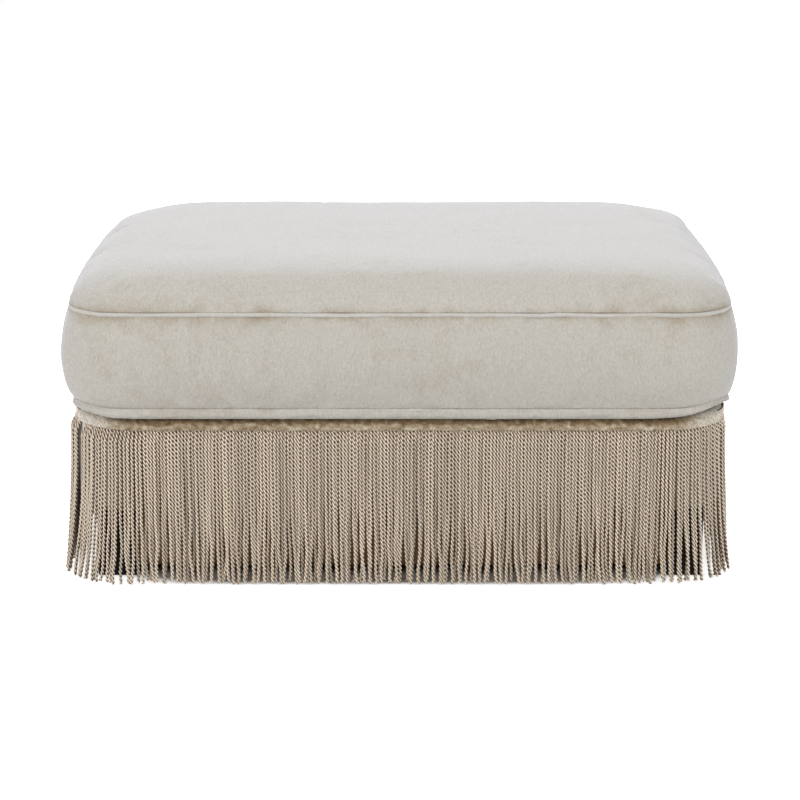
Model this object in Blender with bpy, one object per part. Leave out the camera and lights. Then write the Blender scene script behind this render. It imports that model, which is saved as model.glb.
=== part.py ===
# Upholstered footstool: a loose box cushion on a webbed hardwood base with a bullion fringe.
# Metres, +Z up, origin on the floor at the footprint's centre, long side along X, front towards -Y.

import math
import random

import bmesh
import bpy
from mathutils import Vector

# Clearances
gap = 0.0003                    # between pieces that touch
foam_gap = 0.0008               # between the foam and its cover
running_gap = 0.0005            # between the zip's moving pieces

# Loose cushion: lengths between its seams, heights between its welts
cushion_length = 0.970
cushion_depth = 0.722
cushion_corner_radius = 0.083
end_bow = 0.0105                # the short ends swell in plan
seam_to_seam = 0.1425
boxing_bulge = 0.0125
crown_height = 0.0515
crown_run = 0.164               # how far in from the seam the top still rises
belly_drop = 0.0140             # bottom welt to the underside
belly_run = 0.024               # how far in from the seam the underside is rounded
cover_thickness = 0.002         # velvet with its wadding
welt_diameter = 0.0075

# Base
deck_height = 0.2508            # top of the deck's velvet
overhang_x = 0.0056             # the cushion's seam beyond the rails
overhang_y = 0.0136
base_corner_radius = 0.1035
deck_edge_radius = 0.008
rail_bottom = 0.1115
rail_thickness = 0.022
corner_block_leg = 0.0215        # a post's flat sides beyond its rounded corner
brace_width = 0.045
brace_drop = 0.030              # below the rails' top, so that the webbing can give
deck_pad_thickness = 0.018
webbing_width = 0.060
webbing_thickness = 0.0015
webbing_pitch = 0.150
webbing_inset = 0.006           # the straps' ends, in from the rails' outer faces
cover_lip = 0.016               # velvet folded under the rails
dust_cover_thickness = 0.0008
dust_cover_inset = 0.008        # over the velvet's raw edge, in from the rails' outer faces

# Feet
foot_size = 0.060
foot_corner_radius = 0.006
foot_inset_x = 0.0290           # outer faces, in from the rails' outer faces
foot_inset_y = 0.0240
foot_bolt_diameter = 0.008
foot_bolt_reach = 0.035         # into the foot, and as far into the corner block
bolt_chamfer = 0.001
glide_thickness = 0.002
glide_diameter = 0.024
glide_edge = 0.001
glide_pin_diameter = 0.004
glide_pin_length = 0.012

# Fringe
header_height = 0.0156
header_thickness = 0.003
header_top_drop = 0.0022        # below the deck's top
strand_pitch = 0.0104
strand_width = 0.0078
strand_thickness = 0.0056
shoulder_drop = 0.030           # below the header, where a strand has found its hang
shoulder_flare = 0.0045
tip_flare = 0.0140
tip_height = 0.0040             # above the floor
tip_ragged = 0.0030
strand_sway = 0.0009
facing_thickness = 0.0015

# Skirt linings
lining_thickness = 0.0012
lining_hem = 0.017              # above the floor
lining_inset = 0.030            # in from the rails' outer faces
lining_fold = 0.0030
lining_fold_pitch = 0.110
lining_end_gap = 0.0008         # to the feet

# Zip in the back of the boxing
zip_length = 0.720
zip_tape_width = 0.024
zip_tape_thickness = 0.0010
zip_coil_width = 0.0060
zip_coil_height = 0.0022
zip_stop_length = 0.004
zip_stop_swell = 0.0012
zip_stop_slope = 0.0005
slider_length = 0.011
slider_wall = 0.0012
arch_width = 0.0030
arch_wall = 0.0010
arch_opening = 0.0028
arch_reach = 0.0030
pull_length = 0.026
pull_width = 0.0075
pull_thickness = 0.0012
pull_eye = 0.0050

# Cutters run this far past what they cut
overrun = 0.002

# Counts
corner_steps = 6
corner_slices = 2
facing_corner_steps = 10
long_side_steps = 6
short_side_steps = 4
fold_steps = 4
welt_sides = 6
round_sides = 16
webbing_straps = 5

# Shares of a rise, a turn or a bulge
boxing_shares = (0.0, 0.12, 0.40, 0.60, 0.88, 1.0)
boxing_fullness_share = 0.8
crown_shares = (0.0, 0.12, 0.28, 0.48, 0.72, 1.0)
belly_shares = (0.0, 0.34, 0.67, 1.0)
belly_squareness_share = 0.6
facing_wrap_share = 0.62        # of each front and back corner's turn

# Where the deck's layers and the rails' top lie
cover_inside = deck_height - cover_thickness
pad_top = cover_inside - gap
pad_bottom = pad_top - deck_pad_thickness
webbing_top = pad_bottom - gap
webbing_bottom = webbing_top - webbing_thickness
rail_top = webbing_bottom - gap

# Where the underside's layers and the feet lie
lip_top = rail_bottom - gap
lip_bottom = lip_top - cover_thickness
dust_top = lip_bottom - gap
dust_bottom = dust_top - dust_cover_thickness
foot_top = dust_bottom - gap
foot_bottom = glide_thickness + gap

# Half sizes and centres in plan
cushion_x = cushion_length / 2
cushion_y = cushion_depth / 2
rail_x = cushion_x - overhang_x
rail_y = cushion_y - overhang_y
foot_x = rail_x - foot_inset_x - foot_size / 2
foot_y = rail_y - foot_inset_y - foot_size / 2
corner_x = rail_x - base_corner_radius
corner_y = rail_y - base_corner_radius
corner_block_size = base_corner_radius + corner_block_leg

# How far each layer stands out from the rails' outer faces
cover_inner = gap
cover_outer = cover_inner + cover_thickness
header_inner = cover_outer + gap
header_outer = header_inner + header_thickness
facing_inner = header_outer + gap
facing_outer = facing_inner + facing_thickness
header_top = deck_height - header_top_drop
header_bottom = header_top - header_height
strand_root = (header_inner + header_outer) / 2

# The cushion's heights, and the room that a panel leaves to its welt
underside = deck_height + gap
bottom_seam = underside + belly_drop
top_seam = bottom_seam + seam_to_seam
welt_radius = welt_diameter / 2
welt_room = welt_radius + gap
boxing_low = bottom_seam + welt_room
boxing_high = top_seam - welt_room

corners = (("front_left", -1, -1), ("front_right", 1, -1), ("back_right", 1, 1), ("back_left", -1, 1))

velvet = ((0.56, 0.54, 0.50), 0.85)
base_velvet = ((0.42, 0.37, 0.30), 0.85)
cord_yarn = ((0.45, 0.38, 0.30), 0.70)
hardwood = ((0.55, 0.38, 0.22), 0.60)
black_wood = ((0.010, 0.010, 0.010), 0.45)
black_cloth = ((0.020, 0.020, 0.020), 0.90)
brown_cloth = ((0.14, 0.09, 0.05), 0.90)
foam = ((0.85, 0.80, 0.62), 0.90)
wadding = ((0.80, 0.80, 0.78), 0.95)
elastic = ((0.10, 0.08, 0.06), 0.80)
steel = ((0.55, 0.55, 0.56), 0.35, 1.0)
nylon = ((0.30, 0.29, 0.27), 0.50)


def finish(name, colour, roughness, metallic=0.0):
    material = bpy.data.materials.new(name)
    material.use_nodes = True
    shader = material.node_tree.nodes["Principled BSDF"]
    shader.inputs["Base Color"].default_value = (*colour, 1.0)
    shader.inputs["Roughness"].default_value = roughness
    shader.inputs["Metallic"].default_value = metallic
    return material


def keep(name, mesh, look, smooth=True):
    # The mesh becomes one named object with a material of its own.
    bmesh.ops.recalc_face_normals(mesh, faces=mesh.faces)
    data = bpy.data.meshes.new(name)
    mesh.to_mesh(data)
    mesh.free()
    data.materials.append(finish(name, *look))
    if smooth:
        data.shade_smooth()
        data.set_sharp_from_angle(angle=math.radians(35))
    made = bpy.data.objects.new(name, data)
    bpy.context.scene.collection.objects.link(made)
    return made


def loft(name, rings, look, joined=False, smooth=True):
    # Skins rings of equally many points: capped at both ends, or joined end to start.
    mesh = bmesh.new()
    loops = [[mesh.verts.new(point) for point in ring] for ring in rings]
    pairs = list(zip(loops, loops[1:]))
    if joined:
        pairs.append((loops[-1], loops[0]))
    else:
        mesh.faces.new(loops[0])
        mesh.faces.new(loops[-1])
    for one, other in pairs:
        for i in range(len(one)):
            j = (i + 1) % len(one)
            mesh.faces.new((one[i], one[j], other[j], other[i]))
    return keep(name, mesh, look, smooth)


def block(name, low, high, look):
    outline = [(low[0], low[1]), (high[0], low[1]), (high[0], high[1]), (low[0], high[1])]
    rings = [[Vector((x, y, z)) for x, y in outline] for z in (low[2], high[2])]
    return loft(name, rings, look, smooth=False)


def circle(x, y, z, radius):
    turns = [2 * math.pi * (side + 1 / 2) / round_sides for side in range(round_sides)]
    return [Vector((x + radius * math.cos(turn), y + radius * math.sin(turn), z)) for turn in turns]


def rod(name, x, y, stations, look):
    # A turned piece: circles of the given radii at the given heights.
    return loft(name, [circle(x, y, z, radius) for z, radius in stations], look)


def cut(piece, cutter, operation="DIFFERENCE"):
    change = piece.modifiers.new("cut_by_" + cutter.name, "BOOLEAN")
    change.operation = operation
    change.object = cutter
    change.solver = "EXACT"
    cutter.hide_render = True
    cutter.display_type = "WIRE"


def carry(name, place, pieces, parent=None):
    # An empty on a joint's line carries what moves with it.
    empty = bpy.data.objects.new(name, None)
    bpy.context.scene.collection.objects.link(empty)
    empty.location = place
    if parent:
        empty.parent = parent
        empty.location = place - parent.matrix_world.translation
    bpy.context.view_layer.update()
    for piece in pieces:
        piece.parent = empty
        piece.matrix_parent_inverse = empty.matrix_world.inverted()
    return empty


def plan(half_x, half_y, radius, inset=0.0, bow=0.0):
    # A rounded rectangle set in from the given one, as points with their outward directions.
    # Past half the corner's radius the corners shrink with what is left of the width.
    deep = radius / 2
    if inset < deep:
        turn = radius - inset
    else:
        turn = deep * (half_y - inset) / (half_y - deep)
    straight_x = half_x - inset - turn
    straight_y = half_y - inset - turn
    found = []
    for quarter in range(4):
        sign_x = (1, -1, -1, 1)[quarter]
        sign_y = (1, 1, -1, -1)[quarter]
        centre = Vector((sign_x * straight_x, sign_y * straight_y))
        for step in range(corner_steps + 1):
            angle = math.pi / 2 * (quarter + step / corner_steps)
            out = Vector((math.cos(angle), math.sin(angle)))
            found.append((centre + turn * out, out))
        # The side that follows this corner: back, left, front and right in turn.
        along = Vector((-out.y, out.x))
        long_side = quarter % 2 == 0
        half_run = straight_x if long_side else straight_y
        reach = (half_y if long_side else half_x) - inset
        steps = long_side_steps if long_side else short_side_steps
        swell = 0 if long_side else bow
        for step in range(1, steps):
            u = 2 * step / steps - 1
            found.append((out * (reach + swell * (1 - u * u)) + along * (u * half_run), out))
    return found


def level(points, height, push=0.0):
    # The points of a plan at one height, pushed outwards.
    return [Vector((spot.x + out.x * push, spot.y + out.y * push, height)) for spot, out in points]


def cushion_plan(inset=0.0):
    return plan(cushion_x, cushion_y, cushion_corner_radius, inset, end_bow)


def rail_plan(push=0.0):
    return plan(rail_x, rail_y, base_corner_radius, -push)


# Cushion


def boxing_push(share):
    # How far the boxing stands out at a share of its height.
    return boxing_bulge * math.sin(math.pi * share) ** boxing_fullness_share


def boxing_rings(inset):
    height = boxing_high - boxing_low
    return [
        level(cushion_plan(), boxing_low + height * share, boxing_push(share) - inset)
        for share in boxing_shares
    ]


def crown_rings(inset):
    # From the seam inwards: a quarter of an ellipse in section, and flat in the middle.
    edge = welt_room + inset
    rings = []
    for share in crown_shares:
        angle = math.pi / 2 * share
        ring = cushion_plan(edge + (crown_run - edge) * (1 - math.cos(angle)))
        rings.append(level(ring, top_seam + (crown_height - inset) * math.sin(angle)))
    return rings


def belly_rings(inset):
    # From the seam inwards: a squared-off round down to the underside.
    edge = welt_room + inset
    rings = []
    for share in belly_shares:
        angle = math.pi / 2 * share
        across = 1 - math.cos(angle) ** belly_squareness_share if share < 1 else 1
        down = math.sin(angle) ** belly_squareness_share
        ring = cushion_plan(edge + (belly_run - edge) * across)
        rings.append(level(ring, bottom_seam - (belly_drop - inset) * down))
    return rings


def welt(name, height):
    rings = []
    for spot, out in cushion_plan():
        ring = []
        for side in range(welt_sides):
            turn = 2 * math.pi * (side + 1 / 2) / welt_sides
            push = welt_radius * math.cos(turn)
            rise = welt_radius * math.sin(turn)
            ring.append(Vector((spot.x + out.x * push, spot.y + out.y * push, height + rise)))
        rings.append(ring)
    return loft(name, rings, velvet, joined=True)


def cushion():
    top = crown_rings(0)[::-1] + crown_rings(cover_thickness)
    bottom = belly_rings(0)[::-1] + belly_rings(cover_thickness)
    boxing = boxing_rings(0) + boxing_rings(cover_thickness)[::-1]
    inside = cover_thickness + foam_gap
    core = crown_rings(inside)[::-1] + boxing_rings(inside)[::-1] + belly_rings(inside)
    return [
        loft("cushion_top_panel", top, velvet),
        loft("cushion_boxing", boxing, velvet, joined=True),
        loft("cushion_bottom_panel", bottom, velvet),
        welt("cushion_top_welt", top_seam),
        welt("cushion_bottom_welt", bottom_seam),
        loft("cushion_core", core, foam),
    ]


# Zip: everything is a section in Y and Z, drawn along X on the boxing's flat back


zip_face = cushion_y + boxing_push(boxing_shares[2]) + gap
zip_middle = (boxing_low + boxing_high) / 2
coil_base = zip_face + zip_tape_thickness
coil_top = coil_base + zip_coil_height
slider_inner = coil_top + running_gap
slider_outer = slider_inner + slider_wall
slider_x = zip_length / 2 - zip_stop_length - zip_stop_slope - running_gap - slider_length / 2
pull_axis = slider_outer + arch_reach / 2


def drawn_along(name, stations, look):
    rings = [[Vector((x, y, zip_middle + z)) for y, z in section] for x, section in stations]
    return loft(name, rings, look, smooth=False)


def zip_section(swell):
    tape = zip_tape_width / 2
    coil = zip_coil_width / 2 + swell
    top = coil_top + swell
    return [
        (zip_face, -tape), (coil_base, -tape), (coil_base, -coil), (top, -coil),
        (top, coil), (coil_base, coil), (coil_base, tape), (zip_face, tape),
    ]


def slider_section():
    inner = zip_coil_width / 2 + running_gap
    outer = inner + slider_wall
    foot = coil_base + running_gap
    return [
        (foot, -outer), (slider_outer, -outer), (slider_outer, outer), (foot, outer),
        (foot, inner), (slider_inner, inner), (slider_inner, -inner), (foot, -inner),
    ]


def arch_section():
    inner = arch_opening / 2
    outer = inner + arch_wall
    root = slider_outer - slider_wall / 2
    under = slider_outer + arch_reach
    over = under + arch_wall
    return [
        (root, -outer), (over, -outer), (over, outer), (root, outer),
        (root, inner), (under, inner), (under, -inner), (root, -inner),
    ]


def zip_pieces():
    end = zip_length / 2
    shoulder = end - zip_stop_length
    neck = shoulder - zip_stop_slope
    swells = [(-end, zip_stop_swell), (-shoulder, zip_stop_swell), (-neck, 0)]
    stations = [(x, zip_section(swell)) for x, swell in swells]
    stations += [(-x, zip_section(swell)) for x, swell in reversed(swells)]
    chain = drawn_along("zip_chain", stations, nylon)

    half = slider_length / 2
    stations = [(x, slider_section()) for x in (slider_x - half, slider_x + half)]
    slider = drawn_along("zip_slider", stations, steel)
    half = arch_width / 2
    stations = [(x, arch_section()) for x in (slider_x - half, slider_x + half)]
    arch = drawn_along("arch_on_slider", stations, steel)
    cut(slider, arch, "UNION")

    bar = pull_thickness / 2
    low = (slider_x - pull_width / 2, pull_axis - bar, zip_middle - pull_length)
    high = (slider_x + pull_width / 2, pull_axis + bar, zip_middle + bar)
    pull = block("zip_pull", low, high, steel)
    reach = arch_width / 2 + running_gap
    low = (slider_x - reach, pull_axis - bar - overrun, zip_middle - bar - pull_eye)
    high = (slider_x + reach, pull_axis + bar + overrun, zip_middle - bar)
    cut(pull, block("eye_through_pull", low, high, steel))
    return chain, slider, pull


# Base frame


def corner_block(name, side_x, side_y):
    # A quarter-round post, cut back inside from one rail's inner face to the other's.
    outline = []
    for step in range(corner_steps + 1):
        angle = math.pi / 2 * step / corner_steps
        x = corner_x + base_corner_radius * math.cos(angle)
        outline.append((x, corner_y + base_corner_radius * math.sin(angle)))
    outline.append((rail_x - corner_block_size, rail_y))
    outline.append((rail_x - corner_block_size, rail_y - rail_thickness))
    outline.append((rail_x - rail_thickness, rail_y - corner_block_size))
    outline.append((rail_x, rail_y - corner_block_size))
    rings = [[Vector((side_x * x, side_y * y, z)) for x, y in outline] for z in (rail_bottom, rail_top)]
    post = loft(name, rings, hardwood)
    hole = foot_bolt_diameter / 2 + gap
    stations = [(rail_bottom - overrun, hole), (rail_bottom + foot_bolt_reach + gap, hole)]
    cut(post, rod("hole_in_" + name, side_x * foot_x, side_y * foot_y, stations, hardwood))


def frame():
    for place, side_x, side_y in corners:
        corner_block("corner_block_" + place, side_x, side_y)
    end_x = rail_x - corner_block_size - gap
    end_y = rail_y - corner_block_size - gap
    inner_x = rail_x - rail_thickness
    inner_y = rail_y - rail_thickness
    for place, near, far in (("front", -rail_y, -inner_y), ("back", inner_y, rail_y)):
        block("rail_" + place, (-end_x, near, rail_bottom), (end_x, far, rail_top), hardwood)
    for place, near, far in (("left", -rail_x, -inner_x), ("right", inner_x, rail_x)):
        block("rail_" + place, (near, -end_y, rail_bottom), (far, end_y, rail_top), hardwood)
    half = brace_width / 2
    reach = inner_y - gap
    block("centre_brace", (-half, -reach, rail_bottom), (half, reach, rail_top - brace_drop), hardwood)


def deck():
    reach = rail_y - webbing_inset
    for strap in range(webbing_straps):
        x = webbing_pitch * (strap - (webbing_straps - 1) / 2)
        low = (x - webbing_width / 2, -reach, webbing_bottom)
        block(f"webbing_{strap + 1}", low, (x + webbing_width / 2, reach, webbing_top), elastic)

    # The pad and the cover round the deck's edge about one centre line.
    centre = cover_outer - deck_edge_radius
    edge = deck_height - deck_edge_radius
    slope = math.sqrt(1 / 2)

    def edge_rings(radius):
        return [
            level(rail_plan(centre + radius), edge),
            level(rail_plan(centre + radius * slope), edge + radius * slope),
            level(rail_plan(centre), edge + radius),
        ]

    pad = [level(rail_plan(), pad_bottom)] + edge_rings(deck_edge_radius - cover_thickness - gap)
    loft("deck_pad", pad, wadding)
    outside = [
        level(rail_plan(-cover_lip), lip_bottom),
        level(rail_plan(cover_outer), lip_bottom),
    ] + edge_rings(deck_edge_radius)
    inside = [
        level(rail_plan(-cover_lip), lip_top),
        level(rail_plan(cover_inner), lip_top),
    ] + edge_rings(deck_edge_radius - cover_thickness)
    loft("base_cover", outside[::-1] + inside, base_velvet)


def underside_pieces():
    outline = rail_plan(-dust_cover_inset)
    sheet = loft("dust_cover", [level(outline, dust_bottom), level(outline, dust_top)], black_cloth)
    hole = foot_bolt_diameter / 2 + gap
    for place, side_x, side_y in corners:
        stations = [(dust_bottom - overrun, hole), (dust_top + overrun, hole)]
        cut(sheet, rod("dust_hole_" + place, side_x * foot_x, side_y * foot_y, stations, black_cloth))


# Feet


def foot_ring(x, y, z):
    # A square with rounded corners, of as many points as the round holes have.
    found = []
    steps = round_sides // 4
    straight = foot_size / 2 - foot_corner_radius
    for quarter in range(4):
        sign_x = (1, -1, -1, 1)[quarter]
        sign_y = (1, 1, -1, -1)[quarter]
        for step in range(steps):
            angle = math.pi / 2 * (quarter + step / (steps - 1))
            right = x + sign_x * straight + foot_corner_radius * math.cos(angle)
            forth = y + sign_y * straight + foot_corner_radius * math.sin(angle)
            found.append(Vector((right, forth, z)))
    return found


def feet():
    pin = glide_pin_diameter / 2
    bolt = foot_bolt_diameter / 2
    disc = glide_diameter / 2
    for place, side_x, side_y in corners:
        x = side_x * foot_x
        y = side_y * foot_y
        rings = [
            circle(x, y, glide_thickness + glide_pin_length + gap, pin + gap),
            circle(x, y, foot_bottom, pin + gap),
            foot_ring(x, y, foot_bottom),
            foot_ring(x, y, foot_top),
            circle(x, y, foot_top, bolt + gap),
            circle(x, y, foot_top - foot_bolt_reach - gap, bolt + gap),
        ]
        loft("foot_" + place, rings, black_wood)
        low = foot_top - foot_bolt_reach
        high = rail_bottom + foot_bolt_reach
        stations = [
            (low, bolt - bolt_chamfer), (low + bolt_chamfer, bolt),
            (high - bolt_chamfer, bolt), (high, bolt - bolt_chamfer),
        ]
        rod("foot_bolt_" + place, x, y, stations, steel)
        stations = [
            (0, disc - glide_edge), (glide_edge, disc), (glide_thickness, disc),
            (glide_thickness, pin), (glide_thickness + glide_pin_length, pin),
        ]
        rod("glide_" + place, x, y, stations, nylon)


# Fringe


def along_side(start, end):
    # Places along a straight side, with how long it is.
    step = end - start
    length = step.length
    heading = step / length
    out = Vector((heading.y, -heading.x))
    return lambda distance: (start + heading * distance, out), length


def round_corner(side_x, side_y, first):
    # Places round a corner, measured where the strands hang from the header.
    centre = Vector((side_x * corner_x, side_y * corner_y))
    radius = base_corner_radius + strand_root

    def place(distance):
        angle = first + distance / radius
        out = Vector((math.cos(angle), math.sin(angle)))
        return centre + base_corner_radius * out, out

    return place, radius * math.pi / 2 / corner_slices


def fringe_slice(name, place, length, curved):
    # A slice of the header with its strands: each hangs from a patch of the header's lower edge.
    count = round(length / strand_pitch)
    pitch = length / count
    rng = random.Random(name)
    middles = [pitch * (i + 1 / 2) for i in range(count)]
    stations = [gap / 2]
    for middle in middles:
        stations += [middle - strand_width / 2, middle + strand_width / 2]
    stations.append(length - gap / 2)

    mesh = bmesh.new()

    def vertex(distance, push, height):
        spot, out = place(distance)
        return mesh.verts.new((spot.x + out.x * push, spot.y + out.y * push, height))

    low_in = [vertex(station, header_inner, header_bottom) for station in stations]
    low_out = [vertex(station, header_outer, header_bottom) for station in stations]
    last = len(stations) - 1
    tops = sorted(set(range(0, last, 2)) | {last}) if curved else [0, last]
    high_in = {i: vertex(stations[i], header_inner, header_top) for i in tops}
    high_out = {i: vertex(stations[i], header_outer, header_top) for i in tops}
    for one, other in zip(tops, tops[1:]):
        mesh.faces.new([low_out[i] for i in range(one, other + 1)] + [high_out[other], high_out[one]])
        mesh.faces.new([low_in[i] for i in range(one, other + 1)] + [high_in[other], high_in[one]])
        mesh.faces.new((high_in[one], high_in[other], high_out[other], high_out[one]))
    for i in (0, last):
        mesh.faces.new((low_in[i], low_out[i], high_out[i], high_in[i]))
    for i in range(0, last, 2):
        mesh.faces.new((low_in[i], low_in[i + 1], low_out[i + 1], low_out[i]))

    for i, middle in enumerate(middles):
        root = (low_in[2 * i + 1], low_in[2 * i + 2], low_out[2 * i + 2], low_out[2 * i + 1])
        rings = [root]
        lean = strand_sway * rng.uniform(-1, 1)
        levels = (
            (header_bottom - shoulder_drop, shoulder_flare, lean / 2),
            (tip_height + tip_ragged * rng.random(), tip_flare + strand_sway * rng.uniform(-1, 1), lean),
        )
        for height, flare, sway in levels:
            inner = strand_root + flare - strand_thickness / 2
            outer = strand_root + flare + strand_thickness / 2
            low = middle + sway - strand_width / 2
            high = middle + sway + strand_width / 2
            rings.append((
                vertex(low, inner, height), vertex(high, inner, height),
                vertex(high, outer, height), vertex(low, outer, height),
            ))
        for one, other in zip(rings, rings[1:]):
            for side in range(4):
                after = (side + 1) % 4
                mesh.faces.new((one[side], one[after], other[after], other[side]))
        mesh.faces.new(rings[-1])
    keep(name, mesh, cord_yarn, smooth=False)


def fringe():
    sides = (
        ("front", (-corner_x, -rail_y), (corner_x, -rail_y)),
        ("right", (rail_x, -corner_y), (rail_x, corner_y)),
        ("back", (corner_x, rail_y), (-corner_x, rail_y)),
        ("left", (-rail_x, corner_y), (-rail_x, -corner_y)),
    )
    for side, start, end in sides:
        place, length = along_side(Vector(start), Vector(end))
        fringe_slice("fringe_" + side, place, length, curved=False)
    turns = {"front_left": -math.pi, "front_right": -math.pi / 2, "back_right": 0, "back_left": math.pi / 2}
    for corner, side_x, side_y in corners:
        for part in range(corner_slices):
            first = turns[corner] + math.pi / 2 * part / corner_slices
            place, length = round_corner(side_x, side_y, first)
            fringe_slice(f"fringe_{corner}_{part + 1}", place, length, curved=True)


def facings():
    # Velvet turned down over the header along the front and the back, and partway round the corners.
    section = (
        (facing_outer, header_bottom + gap), (facing_outer, header_top + gap + facing_thickness),
        (header_inner, header_top + gap + facing_thickness), (header_inner, header_top + gap),
        (facing_inner, header_top + gap), (facing_inner, header_bottom + gap),
    )
    for side, facing in (("front", -1), ("back", 1)):
        steps = range(facing_corner_steps + 1)
        turns = [math.pi / 2 * facing_wrap_share * step / facing_corner_steps for step in steps]
        path = [(-corner_x, -turn) for turn in reversed(turns)] + [(corner_x, turn) for turn in turns]
        rings = []
        for centre_x, turn in path:
            out = Vector((math.sin(turn), facing * math.cos(turn)))
            spot = Vector((centre_x, facing * corner_y)) + base_corner_radius * out
            rings.append([Vector((spot.x + out.x * push, spot.y + out.y * push, z)) for push, z in section])
        loft("facing_" + side, rings, base_velvet)


# Skirt linings


def lining(name, place, half_run):
    # A sheet between two feet with a soft wave in it.
    steps = round(2 * half_run / lining_fold_pitch) * fold_steps
    run = [half_run * (2 * step / steps - 1) for step in range(steps + 1)]
    wave = [lining_fold * math.sin(2 * math.pi * step / fold_steps) for step in range(steps + 1)]
    outline = [(u, v + lining_thickness / 2) for u, v in zip(run, wave)]
    outline += [(u, v - lining_thickness / 2) for u, v in reversed(list(zip(run, wave)))]
    rings = [[Vector((*place(u, v), z)) for u, v in outline] for z in (lining_hem, dust_bottom - gap)]
    loft(name, rings, brown_cloth)


def linings():
    half_x = foot_x - foot_size / 2 - lining_end_gap
    half_y = foot_y - foot_size / 2 - lining_end_gap
    y = rail_y - lining_inset
    x = rail_x - lining_inset
    lining("lining_front", lambda u, v: (u, v - y), half_x)
    lining("lining_back", lambda u, v: (u, v + y), half_x)
    lining("lining_left", lambda u, v: (v - x, u), half_y)
    lining("lining_right", lambda u, v: (v + x, u), half_y)


for old in list(bpy.data.objects):
    bpy.data.objects.remove(old)

frame()
deck()
underside_pieces()
feet()
fringe()
facings()
linings()
lifted = cushion()
chain, slider, pull = zip_pieces()
lift = carry("cushion_lift", Vector((0, 0, underside)), lifted + [chain])
run = carry("zip_run", Vector((slider_x, coil_top, zip_middle)), [slider], lift)
carry("zip_pull_swing", Vector((slider_x, pull_axis, zip_middle)), [pull], run)
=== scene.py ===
import math

import bpy
import numpy as np
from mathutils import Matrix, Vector, noise


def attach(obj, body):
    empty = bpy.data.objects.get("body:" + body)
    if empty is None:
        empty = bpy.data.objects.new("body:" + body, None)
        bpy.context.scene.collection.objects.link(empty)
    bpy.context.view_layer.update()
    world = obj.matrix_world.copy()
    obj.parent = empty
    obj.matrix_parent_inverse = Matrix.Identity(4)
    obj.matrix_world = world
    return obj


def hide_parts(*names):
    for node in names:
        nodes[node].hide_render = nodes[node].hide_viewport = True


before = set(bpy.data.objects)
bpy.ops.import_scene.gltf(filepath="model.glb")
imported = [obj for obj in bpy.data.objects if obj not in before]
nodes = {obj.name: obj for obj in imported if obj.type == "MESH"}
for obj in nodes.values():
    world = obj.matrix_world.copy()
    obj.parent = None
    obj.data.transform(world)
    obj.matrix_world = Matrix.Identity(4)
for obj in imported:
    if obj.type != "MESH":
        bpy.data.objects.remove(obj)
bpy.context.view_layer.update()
scene = bpy.context.scene
mm = 0.001


def linear(hexColour):
    channels = [int(hexColour[i:i + 2], 16) / 255 for i in (0, 2, 4)]
    return [c / 12.92 if c <= 0.04045 else ((c + 0.055) / 1.055) ** 2.4 for c in channels] + [1]


def addNode(tree, kind, settings={}, links={}):
    # settings may be just the operation, and links a list in the order of the inputs, such as
    # value, from min, from max, to min, to max; a link is a socket, a node (its first output) or a value
    families = ("ShaderNode", "GeometryNode", "FunctionNode", "Node")
    node = tree.nodes.new(next(family + kind for family in families if hasattr(bpy.types, family + kind)))
    if isinstance(settings, str):
        settings = {"operation": settings}
    for name, value in settings.items():
        setattr(node, name, value)
    for socket, value in links.items() if isinstance(links, dict) else enumerate(links):
        if isinstance(value, bpy.types.Node):
            value = value.outputs[0]
        if isinstance(value, bpy.types.NodeSocket):
            tree.links.new(value, node.inputs[socket])
        else:
            node.inputs[socket].default_value = value
    return node


def newMaterial(name):
    # with its tree, its shader and the place on the piece
    material = bpy.data.materials.new(name)
    material.use_nodes = True
    tree = material.node_tree
    return material, tree, tree.nodes["Principled BSDF"], addNode(tree, "TexCoord").outputs["Object"]


def surface(tree, shader, values, colour, bump):
    # the bump is its strength, its distance and its height
    for socket, value in values.items():
        shader.inputs[socket].default_value = value
    tree.links.new(colour, shader.inputs["Base Color"])
    if bump:
        bumped = addNode(tree, "Bump", {}, dict(zip(("Strength", "Distance", "Height"), bump)))
        tree.links.new(bumped.outputs[0], shader.inputs["Normal"])


def meshPiece(name, points, faces, material=None, edges=()):
    mesh = bpy.data.meshes.new(name)
    mesh.from_pydata([tuple(p) for p in points], edges, faces)
    if faces:
        mesh.validate()
        mesh.polygons.foreach_set("use_smooth", [True] * len(mesh.polygons))
    piece = bpy.data.objects.new(name, mesh)
    scene.collection.objects.link(piece)
    if material:
        mesh.materials.append(material)
    return piece


def linePiece(name, points, closed=False):
    # a line of edges that a Geometry Nodes tree turns into a curve
    count = len(points)
    return meshPiece(name, points, (), edges=[(i, (i + 1) % count) for i in range(count if closed else count - 1)])


def frozen(piece):
    # applies every modifier, and leaves a plain mesh
    depsgraph = bpy.context.evaluated_depsgraph_get()
    mesh = bpy.data.meshes.new_from_object(piece.evaluated_get(depsgraph))
    piece.modifiers.clear()
    piece.data = mesh
    return piece


def thickened(piece, thickness, offset=-1):
    wall = piece.modifiers.new("cloth_thickness", "SOLIDIFY")
    wall.thickness, wall.offset = thickness, offset
    return frozen(piece)


def mark(piece, name, values):
    # one number for each point, for the piece's material or tree
    piece.data.attributes.new(name, "FLOAT", "POINT").data.foreach_set("value", values)


def newTree(name, sizes):
    # has a named input for each size, and one for the material
    tree = bpy.data.node_groups.new(name, "GeometryNodeTree")
    tree.interface.new_socket("Geometry", in_out="OUTPUT", socket_type="NodeSocketGeometry")
    kinds = {int: "Int", float: "Float", tuple: "Vector"}
    labels = [("Geometry", "Geometry"), *((key, kinds[type(size)]) for key, size in sizes.items()),
        ("material", "Material")]
    for label, kind in labels:
        tree.interface.new_socket(label, in_out="INPUT", socket_type="NodeSocket" + kind)
    return tree, addNode(tree, "GroupInput").outputs


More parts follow.
